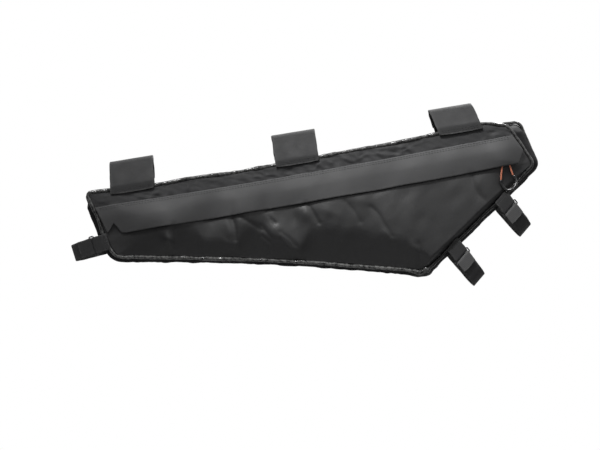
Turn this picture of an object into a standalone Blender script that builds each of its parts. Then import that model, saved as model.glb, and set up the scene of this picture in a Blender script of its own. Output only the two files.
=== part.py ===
"""A bicycle frame bag as it hangs in the front triangle of a frame.

Metres, +Z up, +X forward along the bicycle, +Y to the far side. The origin is on the axis of the top tube,
at the middle strap. Inside the script a place on the bag is (along, down): along the top tube from the
origin, and down from the tube's axis, square to it.
"""

import math

import bpy
import numpy as np
from mathutils import Vector

for old in list(bpy.data.objects):
    bpy.data.objects.remove(old)

# The tubes that the bag hangs on
TOP_TUBE_SLOPE = math.radians(9.33)
TOP_TUBE_RADIUS = 0.0159
DOWN_TUBE_SLOPE = math.radians(49.4)
DOWN_TUBE_RADIUS = 0.01905
SEAT_TUBE_LEAN = math.radians(17.7)
SEAT_TUBE_RADIUS = 0.0143

# The bag
BAG_LENGTH = 0.531
BAG_DEPTH = 0.157
REAR_REACH = 0.252
SEAM_DROP = 0.013
SEAM_WIDTH = 0.052
CORNER_ROUND = 0.010
NEAR_CROWN = 0.0105
FAR_CROWN = 0.0085
CROWN_REACH = 0.060
WALL = 0.0012
GAP = 0.0003
GUSSET_BULGE = 0.008
TUBE_CLEARANCE = 0.0013
HOLLOW_EASE = 0.014  # from each end of the top strip to where its hollow has its full depth

# The piped edges
BINDING_RADIUS = 0.0018
BINDING_GAP = 0.0005

# The zip, its flap and its pull
ZIP_DROP_REAR = 0.050
ZIP_DROP_FRONT = 0.0442
ZIP_SAG = 0.003
ZIP_WIDTH = 0.007
COIL_HEIGHT = 0.0009
FLAP_ABOVE = 0.017
FLAP_BELOW = 0.018
FLAP_LIFT = 0.0028
FLAP_WALL = 0.001
NOTCH_DEPTH = 0.0125
NOTCH_WIDTH = 0.018
SLIDER_LENGTH = 0.011
SLIDER_WIDTH = 0.0075
SLIDER_PLATE = 0.0007
BRIDGE_WIDTH = 0.0022
BRIDGE_WALL = 0.0007
BRIDGE_SPAN = 0.0051
PULL_CORD_RADIUS = 0.001
PULL_END_RADIUS = 0.0012

# The wide straps over the top tube
WIDE_STRAP_WIDTH = 0.0525
WIDE_STRAP_THICKNESS = 0.002
TAB_THICKNESS = 0.0018
STRAP_TUBE_GAP = 0.0004
TAB_PAST_TOP = math.radians(38)
STRAP_END_SHORT = 0.006

# The narrow straps round the seat tube and the down tube
NARROW_STRAP_WIDTH = 0.020
NARROW_STRAP_THICKNESS = 0.0016
RING_WIRE_RADIUS = 0.0008
RING_SPREAD = 0.0055
RING_SIDE_GAP = 0.0006
RING_FROM_SEAM = 0.34
ANCHOR_RETURN = 0.0045
SEAM_TO_DOWN_TUBE_LOWER = 0.0062
SEAM_TO_DOWN_TUBE_UPPER = 0.0022
SEAM_TO_SEAT_TUBE = 0.0105
CABLE_ROOM_DOWN_TUBE = 0.0075
CABLE_ROOM_SEAT_TUBE = 0.0040
FOLD_BACK_DOWN_TUBE = 0.0115
FOLD_BACK_SEAT_TUBE = 0.0150

# The side outline, one row for each corner or bend. Along is a share of BAG_LENGTH from the rear end,
# down a share of BAG_DEPTH below the top seam's level, round a share of CORNER_ROUND (0 on a smooth side).
# near along, near down, far along, far down, round
OUTLINE = {
    "rear_top": (0.002, 0.017, -0.004, 0.000, 0.40),
    "rear_strap": (0.060, 0.026, 0.056, 0.020, 0),
    "top_1": (0.150, 0.043, 0.150, 0.030, 0),
    "top_2": (0.240, 0.036, 0.240, 0.030, 0),
    "top_3": (0.331, 0.045, 0.331, 0.038, 0),
    "mid_strap": (0.475, 0.037, 0.475, 0.037, 0),
    "top_4": (0.617, 0.023, 0.617, 0.030, 0),
    "top_5": (0.695, 0.022, 0.695, 0.020, 0),
    "front_strap": (0.850, -0.008, 0.850, -0.010, 0),
    "top_6": (0.905, -0.014, 0.915, -0.018, 0),
    "front_top": (0.955, 0.030, 0.990, -0.012, 0.70),
    "nose": (0.996, 0.333, 1.014, 0.325, 0.60),
    "down_tube_1": (0.920, 0.529, 0.930, 0.533, 0),
    "down_tube_2": (0.869, 0.646, 0.878, 0.650, 0),
    "down_tube_3": (0.805, 0.799, 0.812, 0.806, 0),
    "heel": (0.715, 1.006, 0.722, 1.016, 1.30),
    "bottom_1": (0.679, 0.965, 0.683, 0.975, 0),
    "bottom_2": (0.601, 0.899, 0.603, 0.905, 0),
    "bottom_3": (0.459, 0.784, 0.460, 0.788, 0),
    "bottom_4": (0.364, 0.714, 0.364, 0.716, 0),
    "bottom_5": (0.201, 0.608, 0.200, 0.610, 0),
    "rear_bottom": (0.042, 0.512, 0.036, 0.516, 0.90),
    "rear_1": (0.028, 0.381, 0.020, 0.383, 0),
    "rear_2": (0.017, 0.205, 0.009, 0.200, 0),
}

# How far the strip between the sides bulges, as a share of GUSSET_BULGE, for each length between corners
BULGE = {"front": 0.75, "down_tube": 0.60, "bottom": 0.70, "rear": 0.95}

# Each wide strap: where its middle is as a share of BAG_LENGTH, and how far its top leans forward as a
# share of its width
WIDE_STRAPS = {
    "rear": (0.1005, 0.075),
    "mid": (0.4765, 0.015),
    "front": (0.8500, -0.125),
}

# Each narrow strap: where it meets the near outline, as a share of that side's length from its front or
# upper end, and how far it goes askew along the tube for each length off the bag
DOWN_STRAPS = {"lower": (0.768, SEAM_TO_DOWN_TUBE_LOWER), "upper": (0.318, SEAM_TO_DOWN_TUBE_UPPER)}
DOWN_STRAP_SKEW = -0.18
SEAT_STRAP = 0.760
SEAT_STRAP_SKEW = 0.02

# Where the slider is, where the flap ends and where its notch starts, as shares of BAG_LENGTH
SLIDER_AT = 0.938
FLAP_END = 0.968
NOTCH_AT = 0.031

# The pull cord's own points, (along, down, height off the cloth), from its left end over the bridge to its right end
PULL_CORD_POINTS = [
    (0.2366, 0.0790, 0.0021), (0.2378, 0.0738, 0.0014), (0.2396, 0.0668, 0.0007), (0.2414, 0.0600, 0.0006),
    (0.2428, 0.0535, 0.0017), (0.2433, 0.0488, 0.0024), (0.2444, 0.0459, 0.0025), (0.2461, 0.0450, 0.0025),
    (0.2478, 0.0459, 0.0025), (0.2488, 0.0488, 0.0024), (0.2489, 0.0535, 0.0017), (0.2494, 0.0600, 0.0006),
    (0.2502, 0.0668, 0.0007), (0.2515, 0.0738, 0.0016), (0.2520, 0.0755, 0.0019),
]
PULL_END_POINTS = [
    (0.2364, 0.0796, 0.0024), (0.2366, 0.0835, 0.0026), (0.2383, 0.0878, 0.0030), (0.2414, 0.0912, 0.0035),
    (0.2450, 0.0925, 0.0038), (0.2492, 0.0917, 0.0038), (0.2528, 0.0885, 0.0036), (0.2546, 0.0842, 0.0032),
    (0.2541, 0.0800, 0.0026), (0.2524, 0.0762, 0.0023),
]

HALF = SEAM_WIDTH / 2
EDGE = 0.0005


def world(along, down, y):
    """A place on the bag as x, y, z."""
    c, s = math.cos(TOP_TUBE_SLOPE), math.sin(TOP_TUBE_SLOPE)
    return (along * c + down * s, y, along * s - down * c)


def unit(v):
    v = np.asarray(v, float)
    return v / max(np.linalg.norm(v), 1e-12)


# Curves

def through(points, steps=12):
    """A smooth curve through the points, as many short straight lines."""
    p = np.array(points, float)
    if len(p) == 2:
        t = np.linspace(0, 1, steps + 1)[:, None]
        return p[0] * (1 - t) + p[1] * t
    q = np.vstack([2 * p[0] - p[1], p, 2 * p[-1] - p[-2]])
    out = []
    for i in range(1, len(q) - 2):
        for t in np.linspace(0, 1, steps, endpoint=False):
            a, b, c, d = q[i - 1], q[i], q[i + 1], q[i + 2]
            out.append(0.5 * (2 * b + (c - a) * t + (2 * a - 5 * b + 4 * c - d) * t**2 + (3 * b - a - 3 * c + d) * t**3))
    out.append(q[-2])
    return np.array(out)


def lengths(line):
    return np.concatenate([[0], np.cumsum(np.linalg.norm(np.diff(line, axis=0), axis=1))])


def at_length(line, s):
    along = lengths(line)
    return np.stack([np.interp(s, along, line[:, k]) for k in range(line.shape[1])], axis=-1)


def measure(line, per_radian):
    """Length along a line, with more where it turns."""
    d = np.diff(line, axis=0)
    angle = np.unwrap(np.arctan2(d[:, 1], d[:, 0]))
    turn = np.concatenate([[0], np.abs(np.diff(angle))])
    return np.concatenate([[0], np.cumsum(np.linalg.norm(d, axis=1) + per_radian * turn)])


def sampled(line, n, per_radian=0.03):
    """n + 1 points along a line, closer together where it turns."""
    m = measure(line, per_radian)
    at = np.linspace(0, m[-1], n + 1)
    return np.stack([np.interp(at, m, line[:, k]) for k in range(line.shape[1])], axis=-1)


def side_outline(along_column, down_column):
    """The closed outline as four lines that meet at the middle of the four end corners."""
    names = list(OUTLINE)
    pts = {}
    for name in names:
        row = OUTLINE[name]
        pts[name] = np.array([row[along_column] * BAG_LENGTH - REAR_REACH, SEAM_DROP + row[down_column] * BAG_DEPTH])
    corners = [n for n in names if OUTLINE[n][4] > 0]
    trimmed = []
    for i, start in enumerate(corners):
        end = corners[(i + 1) % len(corners)]
        run, j = [start], (names.index(start) + 1) % len(names)
        while names[j] != end:
            run.append(names[j])
            j = (j + 1) % len(names)
        run.append(end)
        line = through([pts[n] for n in run])
        total = lengths(line)[-1]
        cut_a, cut_b = OUTLINE[start][4] * CORNER_ROUND, OUTLINE[end][4] * CORNER_ROUND
        trimmed.append(at_length(line, np.linspace(min(cut_a, total / 3), total - min(cut_b, total / 3), 60)))
    whole, middles = [], {}
    for i, start in enumerate(corners):
        before, after, corner = trimmed[i - 1][-1], trimmed[i][0], pts[start]
        t = np.linspace(0, 1, 13)[:, None]
        bend = before * (1 - t) ** 2 + 2 * corner * t * (1 - t) + after * t**2
        middles[start] = len(whole) + 5
        whole += list(bend[1:-1])
        whole += list(trimmed[i])
    whole = np.array(whole)

    def part(a, b):
        i, j = middles[a], middles[b]
        return whole[i : j + 1] if j > i else np.vstack([whole[i:], whole[: j + 1]])

    return {
        "top": part("rear_top", "front_top"),
        "front": part("front_top", "nose"),
        "down_tube": part("nose", "heel"),
        "bottom": part("heel", "rear_bottom"),
        "rear": part("rear_bottom", "rear_top"),
    }


STEPS = {"top": 30, "front": 5, "down_tube": 12, "bottom": 18, "rear": 6}
near_lines, far_lines = side_outline(0, 1), side_outline(2, 3)
near_side = {k: sampled(near_lines[k], n) for k, n in STEPS.items()}
far_side = {k: sampled(far_lines[k], n) for k, n in STEPS.items()}


def joined(sides):
    return np.vstack([sides[k][:-1] for k in STEPS])


near_loop, far_loop = joined(near_side), joined(far_side)


def outward(loop):
    """At each point of a closed outline, the direction that points out of it."""
    d = np.roll(loop, -1, axis=0) - np.roll(loop, 1, axis=0)
    n = np.stack([d[:, 1], -d[:, 0]], axis=1)
    return n / np.linalg.norm(n, axis=1)[:, None]


def inset(points, loop):
    """How far each point is from an outline."""
    p = np.asarray(points, float)
    a, b = loop, np.roll(loop, -1, axis=0)
    best = np.full(len(p), np.inf)
    for i in range(len(a)):
        e = b[i] - a[i]
        t = np.clip(((p - a[i]) @ e) / (e @ e), 0, 1)
        best = np.minimum(best, np.linalg.norm(p - a[i] - t[:, None] * e, axis=1))
    return best


def crown(points, loop, height):
    """How far the cloth of a side stands out from its seam."""
    t = np.clip(inset(points, loop) / CROWN_REACH, 0, 1)
    return height * (1 - (1 - t) ** 2.2)


def near_y(points):
    return -(HALF + crown(points, near_loop, NEAR_CROWN))


def zip_down(along):
    """How far the middle of the zip is below the tube's axis."""
    t = (along + REAR_REACH) / BAG_LENGTH
    return ZIP_DROP_REAR * (1 - t) + ZIP_DROP_FRONT * t + ZIP_SAG * 4 * t * (1 - t)


# Solids

def colour_of(rgb):
    return (*rgb, 1)


def finish(name, points, faces, look, smooth=True):
    """An object with its origin in the middle of its points."""
    points = np.array(points, float)
    middle = (points.min(axis=0) + points.max(axis=0)) / 2
    mesh = bpy.data.meshes.new(name)
    mesh.from_pydata([Vector(p - middle) for p in points], [], faces)
    mesh.validate()
    obj = bpy.data.objects.new(name, mesh)
    obj.location = middle
    bpy.context.scene.collection.objects.link(obj)
    dress(obj, look)
    if smooth:
        mesh.shade_smooth()
        mesh.set_sharp_from_angle(angle=math.radians(40))
    obj.parent = bag
    return obj


def dress(obj, look):
    rgb, rough, metal = look
    material = bpy.data.materials.new(obj.name)
    material.use_nodes = True
    shader = material.node_tree.nodes["Principled BSDF"]
    shader.inputs["Base Color"].default_value = colour_of(rgb)
    shader.inputs["Roughness"].default_value = rough
    shader.inputs["Metallic"].default_value = metal
    obj.data.materials.append(material)


def shell(name, outer, inner, look):
    """A closed solid between two grids of points, each (n, m, 3). Both grids are cut along the same diagonals, so
    that the wall keeps its thickness where they bend two ways."""
    n, m = outer.shape[:2]
    points = np.vstack([outer.reshape(-1, 3), inner.reshape(-1, 3)])
    faces = []
    at = lambda i, j: i * m + j
    half = n * m
    for i in range(n - 1):
        for j in range(m - 1):
            a, b, c, d = at(i, j), at(i + 1, j), at(i + 1, j + 1), at(i, j + 1)
            if np.linalg.norm(points[a] - points[c]) > np.linalg.norm(points[b] - points[d]):
                a, b, c, d = b, c, d, a
            faces += [(a, b, c), (a, c, d)]
            faces += [(half + c, half + b, half + a), (half + d, half + c, half + a)]
    rim = [at(i, 0) for i in range(n)] + [at(n - 1, j) for j in range(1, m)]
    rim += [at(i, m - 1) for i in range(n - 2, -1, -1)] + [at(0, j) for j in range(m - 2, 0, -1)]
    for i, a in enumerate(rim):
        b = rim[(i + 1) % len(rim)]
        faces.append((b, a, half + a, half + b))
    volume = signed_volume(points, faces)
    if volume < 0:
        faces = [f[::-1] for f in faces]
    return finish(name, points, faces, look)


def signed_volume(points, faces):
    total = 0.0
    for f in faces:
        for i in range(1, len(f) - 1):
            total += np.dot(points[f[0]], np.cross(points[f[i]], points[f[i + 1]]))
    return total / 6


def ring_tube(name, line, normal, radius, sides, look):
    """A round wire along a closed flat line."""
    n = len(line)
    normal = unit(normal)
    points, faces = [], []
    for i in range(n):
        before, here, after = line[i - 1], line[i], line[(i + 1) % n]
        d0, d1 = unit(here - before), unit(after - here)
        s0, s1 = np.cross(d0, normal), np.cross(d1, normal)
        across = unit(s0 + s1)
        across = across / max(np.dot(across, s0), 0.5)
        for k in range(sides):
            t = 2 * math.pi * (k + 0.5) / sides
            points.append(here + radius * (math.cos(t) * across + math.sin(t) * normal))
    for i in range(n):
        j = (i + 1) % n
        for k in range(sides):
            l = (k + 1) % sides
            faces.append((i * sides + k, i * sides + l, j * sides + l, j * sides + k))
    points = np.array(points)
    if signed_volume(points, faces) < 0:
        faces = [f[::-1] for f in faces]
    return finish(name, points, faces, look)


def coons(top, bottom, rear, front):
    """A grid of flat places between four lines; top and bottom run to the front, rear and front run down."""
    n, m = len(top), len(rear)
    u, v = np.linspace(0, 1, n)[:, None, None], np.linspace(0, 1, m)[None, :, None]
    across = top[:, None, :] * (1 - v) + bottom[:, None, :] * v
    down = rear[None, :, :] * (1 - u) + front[None, :, :] * u
    corners = (top[0] * (1 - u) * (1 - v) + top[-1] * u * (1 - v) + bottom[0] * (1 - u) * v + bottom[-1] * u * v)
    return across + down - corners


def raised(grid, y):
    """A grid of flat places put at the heights y."""
    c, s = math.cos(TOP_TUBE_SLOPE), math.sin(TOP_TUBE_SLOPE)
    a, d = grid[..., 0], grid[..., 1]
    return np.stack([a * c + d * s, y, a * s - d * c], axis=-1)


bag = bpy.data.objects.new("bag", None)
bpy.context.scene.collection.objects.link(bag)

COATED = ((0.020, 0.020, 0.022), 0.38, 0)
WOVEN = ((0.028, 0.028, 0.030), 0.70, 0)
RUBBERISED = ((0.060, 0.060, 0.062), 0.62, 0)
WEBBING = ((0.045, 0.045, 0.047), 0.80, 0)
PIPING = ((0.012, 0.012, 0.013), 0.22, 0)
COIL = ((0.015, 0.015, 0.016), 0.45, 0)
WIRE = ((0.10, 0.10, 0.10), 0.30, 1)
ORANGE = ((0.85, 0.16, 0.03), 0.60, 0)
MOULDED = ((0.018, 0.018, 0.020), 0.25, 0)


# The side cloths

def flat_height(grid, loop, sign, height):
    flat = grid.reshape(-1, 2)
    return (sign * (HALF + crown(flat, loop, height))).reshape(grid.shape[:2])


def split_end(line, at_top, at_low):
    """Where an end line of the outline crosses the zip's two edges: lengths along it."""
    s = lengths(line)
    over = line[:, 1] - np.array([zip_down(a) for a in line[:, 0]])
    return np.interp(at_top, over, s), np.interp(at_low, over, s)


rear_down = near_lines["rear"][::-1]
front_down = near_lines["front"]
rear_zip = split_end(rear_down, -ZIP_WIDTH / 2, ZIP_WIDTH / 2)
front_zip = split_end(front_down, -ZIP_WIDTH / 2, ZIP_WIDTH / 2)


def zip_edge(offset, n):
    """A line beside the zip, from the rear edge of the side to its front edge."""
    s_rear = split_end(rear_down, offset, offset)[0]
    s_front = split_end(front_down, offset, offset)[0]
    a0, a1 = at_length(rear_down, s_rear)[0], at_length(front_down, s_front)[0]
    along = np.linspace(a0, a1, n + 1)
    return np.stack([along, zip_down(along) + offset], axis=1)


def piece_of_end(line, s0, s1, n):
    return sampled(at_length(line, np.linspace(s0, s1, 40)), n, 0.02)


gap_half = GAP / 2
n_top = STEPS["top"]
upper = zip_edge(-ZIP_WIDTH / 2 - gap_half, n_top)
band = coons(
    near_side["top"],
    upper,
    piece_of_end(rear_down, 0, rear_zip[0] - gap_half, 3),
    piece_of_end(front_down, 0, front_zip[0] - gap_half, 3),
)
band_y = flat_height(band, near_loop, -1, NEAR_CROWN)
shell("top_band", raised(band, band_y), raised(band, band_y + WALL), WOVEN)

lower = zip_edge(ZIP_WIDTH / 2 + gap_half, n_top)
end_length = lambda line: lengths(line)[-1]
lower_loop = np.vstack([near_side["down_tube"][:-1], near_side["bottom"]])[::-1]
panel = coons(
    lower,
    lower_loop,
    piece_of_end(rear_down, rear_zip[1] + gap_half, end_length(rear_down), 7),
    piece_of_end(front_down, front_zip[1] + gap_half, end_length(front_down), 7),
)
panel_y = flat_height(panel, near_loop, -1, NEAR_CROWN)
shell("near_panel", raised(panel, panel_y), raised(panel, panel_y + WALL), COATED)

far = coons(
    far_side["top"],
    np.vstack([far_side["down_tube"][:-1], far_side["bottom"]])[::-1],
    piece_of_end(far_lines["rear"][::-1], 0, end_length(far_lines["rear"]), 9),
    piece_of_end(far_lines["front"], 0, end_length(far_lines["front"]), 9),
)
far_y = flat_height(far, far_loop, 1, FAR_CROWN)
shell("far_panel", raised(far, far_y), raised(far, far_y - WALL), COATED)

# The closed zip: a flat tape with the coil standing on its middle
rows = [-1.0, -0.30, -0.16, 0.16, 0.30, 1.0]
tape = np.stack([zip_edge(r * (ZIP_WIDTH / 2 - gap_half), n_top) for r in rows], axis=1)
tape_y = flat_height(tape, near_loop, -1, NEAR_CROWN)
coil = np.array([0, 0, 1, 1, 0, 0]) * COIL_HEIGHT
shell("zip_tape", raised(tape, tape_y - coil[None, :]), raised(tape, tape_y + WALL), COIL)

# The storm flap over the zip, with its notch at the rear


def lift_at(points):
    """How far the flap stands off the cloth: sewn down at its top edge, raised over the zip and the slider."""
    along, down = points[:, 0], points[:, 1]
    t = np.clip((down - zip_down(along) + FLAP_ABOVE) / FLAP_ABOVE, 0, 1)
    over_slider = np.exp(-(((along - slider_along) / (3 * SLIDER_LENGTH)) ** 2))
    over_slider *= np.exp(-(((down - slider_down) / FLAP_ABOVE) ** 2))
    return GAP + (FLAP_LIFT - GAP) * np.sin(t * math.pi / 2) + BRIDGE_RISE * over_slider


slider_along = SLIDER_AT * BAG_LENGTH - REAR_REACH
slider_down = float(zip_down(slider_along))
BRIDGE_ROOM = 2 * PULL_CORD_RADIUS + 2 * GAP
BRIDGE_TOP = COIL_HEIGHT + GAP + SLIDER_PLATE + BRIDGE_ROOM + BRIDGE_WALL
BRIDGE_RISE = BRIDGE_TOP + GAP - FLAP_LIFT + FLAP_WALL

notch_from = NOTCH_AT * BAG_LENGTH - REAR_REACH
flap_top = zip_edge(-FLAP_ABOVE, 34)
flap_top[:, 0] += np.linspace(EDGE, -EDGE, 35)
end_along = FLAP_END * BAG_LENGTH - REAR_REACH
low_along = np.concatenate([
    notch_from + NOTCH_WIDTH * np.array([0.0, 0.25, 0.5, 0.72, 0.92]),
    np.linspace(notch_from + NOTCH_WIDTH * 1.25, end_along - 0.004, 28),
    [end_along - 0.0015, end_along],
])
low_rise = np.zeros(35)
low_rise[:5] = NOTCH_DEPTH * np.array([0.20, 0.58, 1.0, 0.52, 0.10])
low_rise[-2:] = [0.0006, 0.0028]
flap_low = np.stack([low_along, zip_down(low_along) + FLAP_BELOW - low_rise], axis=1)
rear_cut = sampled(np.array([flap_top[0], flap_low[0]]), 5)
front_edge_low = at_length(front_down, split_end(front_down, 0.004, 0.004)[0])
front_cut = sampled(np.array([flap_top[-1], [front_edge_low[0] - EDGE, front_edge_low[1]], flap_low[-1]]), 5, 0)
flap = coons(flap_top, flap_low, rear_cut, front_cut)
flap_flat = flap.reshape(-1, 2)
flap_y = (near_y(flap_flat) - lift_at(flap_flat)).reshape(flap.shape[:2])
shell("storm_flap", raised(flap, flap_y - FLAP_WALL), raised(flap, flap_y), RUBBERISED)

# The slider: a plate on the coil with a bridge that the pull cord goes through


def on_cloth(along, down, height):
    """A place at a height off the near cloth."""
    y = near_y(np.array([[along, down]]))[0]
    return np.array(world(along, down, y - height))


plate_low = COIL_HEIGHT + GAP
plate_top = plate_low + SLIDER_PLATE
half_slider = SLIDER_WIDTH / 2
bridge_half = BRIDGE_SPAN / 2

def prism(profile, along_from, along_to):
    """A flat profile over (down, height) drawn out along the zip."""
    points = []
    for along in (along_from, along_to):
        points += [on_cloth(along, slider_down + d, h) for d, h in profile]
    n = len(profile)
    faces = [tuple(range(n))[::-1], tuple(range(n, 2 * n))]
    faces += [(i, (i + 1) % n, n + (i + 1) % n, n + i) for i in range(n)]
    points = np.array(points)
    if signed_volume(points, faces) < 0:
        faces = [f[::-1] for f in faces]
    return points, faces


def cutter(name, profile, along_from, along_to):
    obj = finish(name, *prism(profile, along_from, along_to), COIL, smooth=False)
    obj.hide_render = True
    obj.display_type = "WIRE"
    return obj


def boolean(obj, other, operation):
    mod = obj.modifiers.new(other.name, "BOOLEAN")
    mod.operation = operation
    mod.object = other
    mod.solver = "EXACT"


plate = [(-half_slider, plate_low), (half_slider, plate_low), (half_slider, plate_top), (-half_slider, plate_top)]
slider = finish(
    "zip_slider", *prism(plate, slider_along - SLIDER_LENGTH / 2, slider_along + SLIDER_LENGTH / 2), WIRE, smooth=False
)
sink = SLIDER_PLATE / 2
bridge = [
    (-bridge_half, plate_top - sink), (-bridge_half, BRIDGE_TOP), (bridge_half, BRIDGE_TOP), (bridge_half, plate_top - sink),
    (bridge_half - BRIDGE_WALL, plate_top - sink), (bridge_half - BRIDGE_WALL, plate_top + BRIDGE_ROOM),
    (-bridge_half + BRIDGE_WALL, plate_top + BRIDGE_ROOM), (-bridge_half + BRIDGE_WALL, plate_top - sink),
]
bridge_solid = cutter("slider_bridge", bridge, slider_along - BRIDGE_WIDTH / 2, slider_along + BRIDGE_WIDTH / 2)
boolean(slider, bridge_solid, "UNION")

# The pull cord and its moulded end


def cord_curve(name, rows, radius, steps, look):
    """A round cord through its own points."""
    line = through([on_cloth(a, d, 0) + np.array([0, -h - radius, 0]) for a, d, h in rows], 8)
    total = lengths(line)[-1]
    points = at_length(line, np.linspace(0, total, steps + 1))
    data = bpy.data.curves.new(name, "CURVE")
    data.dimensions = "3D"
    spline = data.splines.new("POLY")
    spline.points.add(len(points) - 1)
    middle = points.mean(axis=0)
    for p, q in zip(spline.points, points - middle):
        p.co = (*q, 1)
    data.bevel_depth = radius
    data.bevel_resolution = 2
    data.use_fill_caps = True
    obj = bpy.data.objects.new(name, data)
    obj.location = middle
    bpy.context.scene.collection.objects.link(obj)
    obj.parent = bag
    dress(obj, look)
    return obj


cord_curve("zip_pull_cord", PULL_CORD_POINTS, PULL_CORD_RADIUS, 24, ORANGE)
cord_curve("zip_pull_end", PULL_END_POINTS, PULL_END_RADIUS, 16, MOULDED)

# The strip between the sides

near_out, far_out = outward(near_loop), outward(far_loop)
start_of, count = {}, 0
for key, n in STEPS.items():
    start_of[key] = count
    count += n
bulge = np.zeros(len(near_loop))
top_run = lengths(near_side["top"])
ease = np.clip(np.minimum(top_run, top_run[-1] - top_run) / HOLLOW_EASE, 0, 1)
ease = ease * ease * (3 - 2 * ease)
for key, n in STEPS.items():
    for i in range(n):
        j = start_of[key] + i
        if key == "top":
            hollow = max(0.0, TOP_TUBE_RADIUS + TUBE_CLEARANCE - (near_loop[j, 1] + far_loop[j, 1]) / 2)
            bulge[j] = -(hollow + TUBE_CLEARANCE) * ease[i]
        else:
            bulge[j] = BULGE[key] * GUSSET_BULGE
for i in (start_of["top"], start_of["front"]):
    bulge[i] = 0.0
for i in (start_of["down_tube"], start_of["bottom"], start_of["rear"]):
    bulge[i] = 0.5 * (bulge[i - 1] + bulge[(i + 1) % len(bulge)])

ACROSS = np.linspace(-1, 1, 7)
half_strip = HALF - WALL - GAP


def strip_rows(key):
    """The strip's outer and inner grids for one length between corners, with a gap to its neighbours."""
    n = STEPS[key]
    index = [(start_of[key] + i) % len(near_loop) for i in range(n + 1)]
    outer, inner = [], []
    for k, i in enumerate(index):
        ahead = {0: index[1], n: index[n - 1]}.get(k)
        row_out, row_in = [], []
        for t in ACROSS:
            share = (t + 1) / 2
            place = near_loop[i] * (1 - share) + far_loop[i] * share
            out = unit(near_out[i] * (1 - share) + far_out[i] * share)
            if ahead is not None:
                other = near_loop[ahead] * (1 - share) + far_loop[ahead] * share
                along = np.array([-out[1], out[0]])
                along = along * np.sign(np.dot(other - place, along))
                place = place + along * BINDING_GAP
            rise = bulge[i] * (1 - t * t)
            row_out.append(world(*(place + out * rise), t * half_strip))
            row_in.append(world(*(place + out * (rise - WALL)), t * half_strip))
        outer.append(row_out)
        inner.append(row_in)
    return np.array(outer), np.array(inner)


for key in STEPS:
    shell(key + "_gusset", *strip_rows(key), WOVEN)

# The piped edges
across_y = np.array([0.0, 1.0, 0.0])
for side, loop, out, sign in (("near", near_loop, near_out, -1), ("far", far_loop, far_out, 1)):
    flat = loop + out * (BINDING_GAP + BINDING_RADIUS)
    y = sign * (HALF - WALL / 2)
    ring_tube(side + "_binding", np.array([world(a, d, y) for a, d in flat]), across_y, BINDING_RADIUS, 6, PIPING)

# Straps: each is a flat path round a tube, drawn out to the strap's width


def thick(path, thickness):
    """The two edges of a path with a thickness."""
    path = np.array(path, float)
    d = np.diff(path, axis=0)
    d = d / np.linalg.norm(d, axis=1)[:, None]
    normals = np.stack([d[:, 1], -d[:, 0]], axis=1)
    at = np.vstack([normals[:1], normals[:-1] + normals[1:], normals[-1:]])
    at = at / np.linalg.norm(at, axis=1)[:, None]
    scale = np.ones(len(path))
    scale[1:-1] = 1 / np.maximum((at[1:-1] * normals[1:]).sum(axis=1), 0.5)
    step = at * (thickness / 2 * scale)[:, None]
    return path + step, path - step


def arc(centre, radius, from_angle, to_angle, n):
    t = np.linspace(from_angle, to_angle, n + 1)
    return np.stack([centre[0] + radius * np.cos(t), centre[1] + radius * np.sin(t)], axis=1)


def tangent_angle(point, centre, radius, turn):
    """The angle on a circle where a line from the point touches it, on the side that turn says."""
    v = np.asarray(point, float) - centre
    return math.atan2(v[1], v[0]) + turn * math.acos(min(1.0, radius / np.linalg.norm(v)))


def strap(name, path, thickness, width, place, look):
    """A strap whose path and width are put in the world by place(path point, across)."""
    sides = thick(path, thickness)
    grids = []
    for line in sides:
        grids.append(np.array([[place(p, w) for w in (-width / 2, 0.0, width / 2)] for p in line]))
    return shell(name, grids[0], grids[1], look)


# The wide straps go from the near top seam over the top tube, the tabs from the far top seam
tab_radius = TOP_TUBE_RADIUS + STRAP_TUBE_GAP + TAB_THICKNESS / 2
wide_radius = tab_radius + TAB_THICKNESS / 2 + GAP + WIDE_STRAP_THICKNESS / 2
binding_out = HALF - WALL / 2 + BINDING_RADIUS
binding_tall = BINDING_GAP + 2 * BINDING_RADIUS


def seam_level(line, along):
    return float(np.interp(along, line[:, 0], line[:, 1]))


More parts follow.
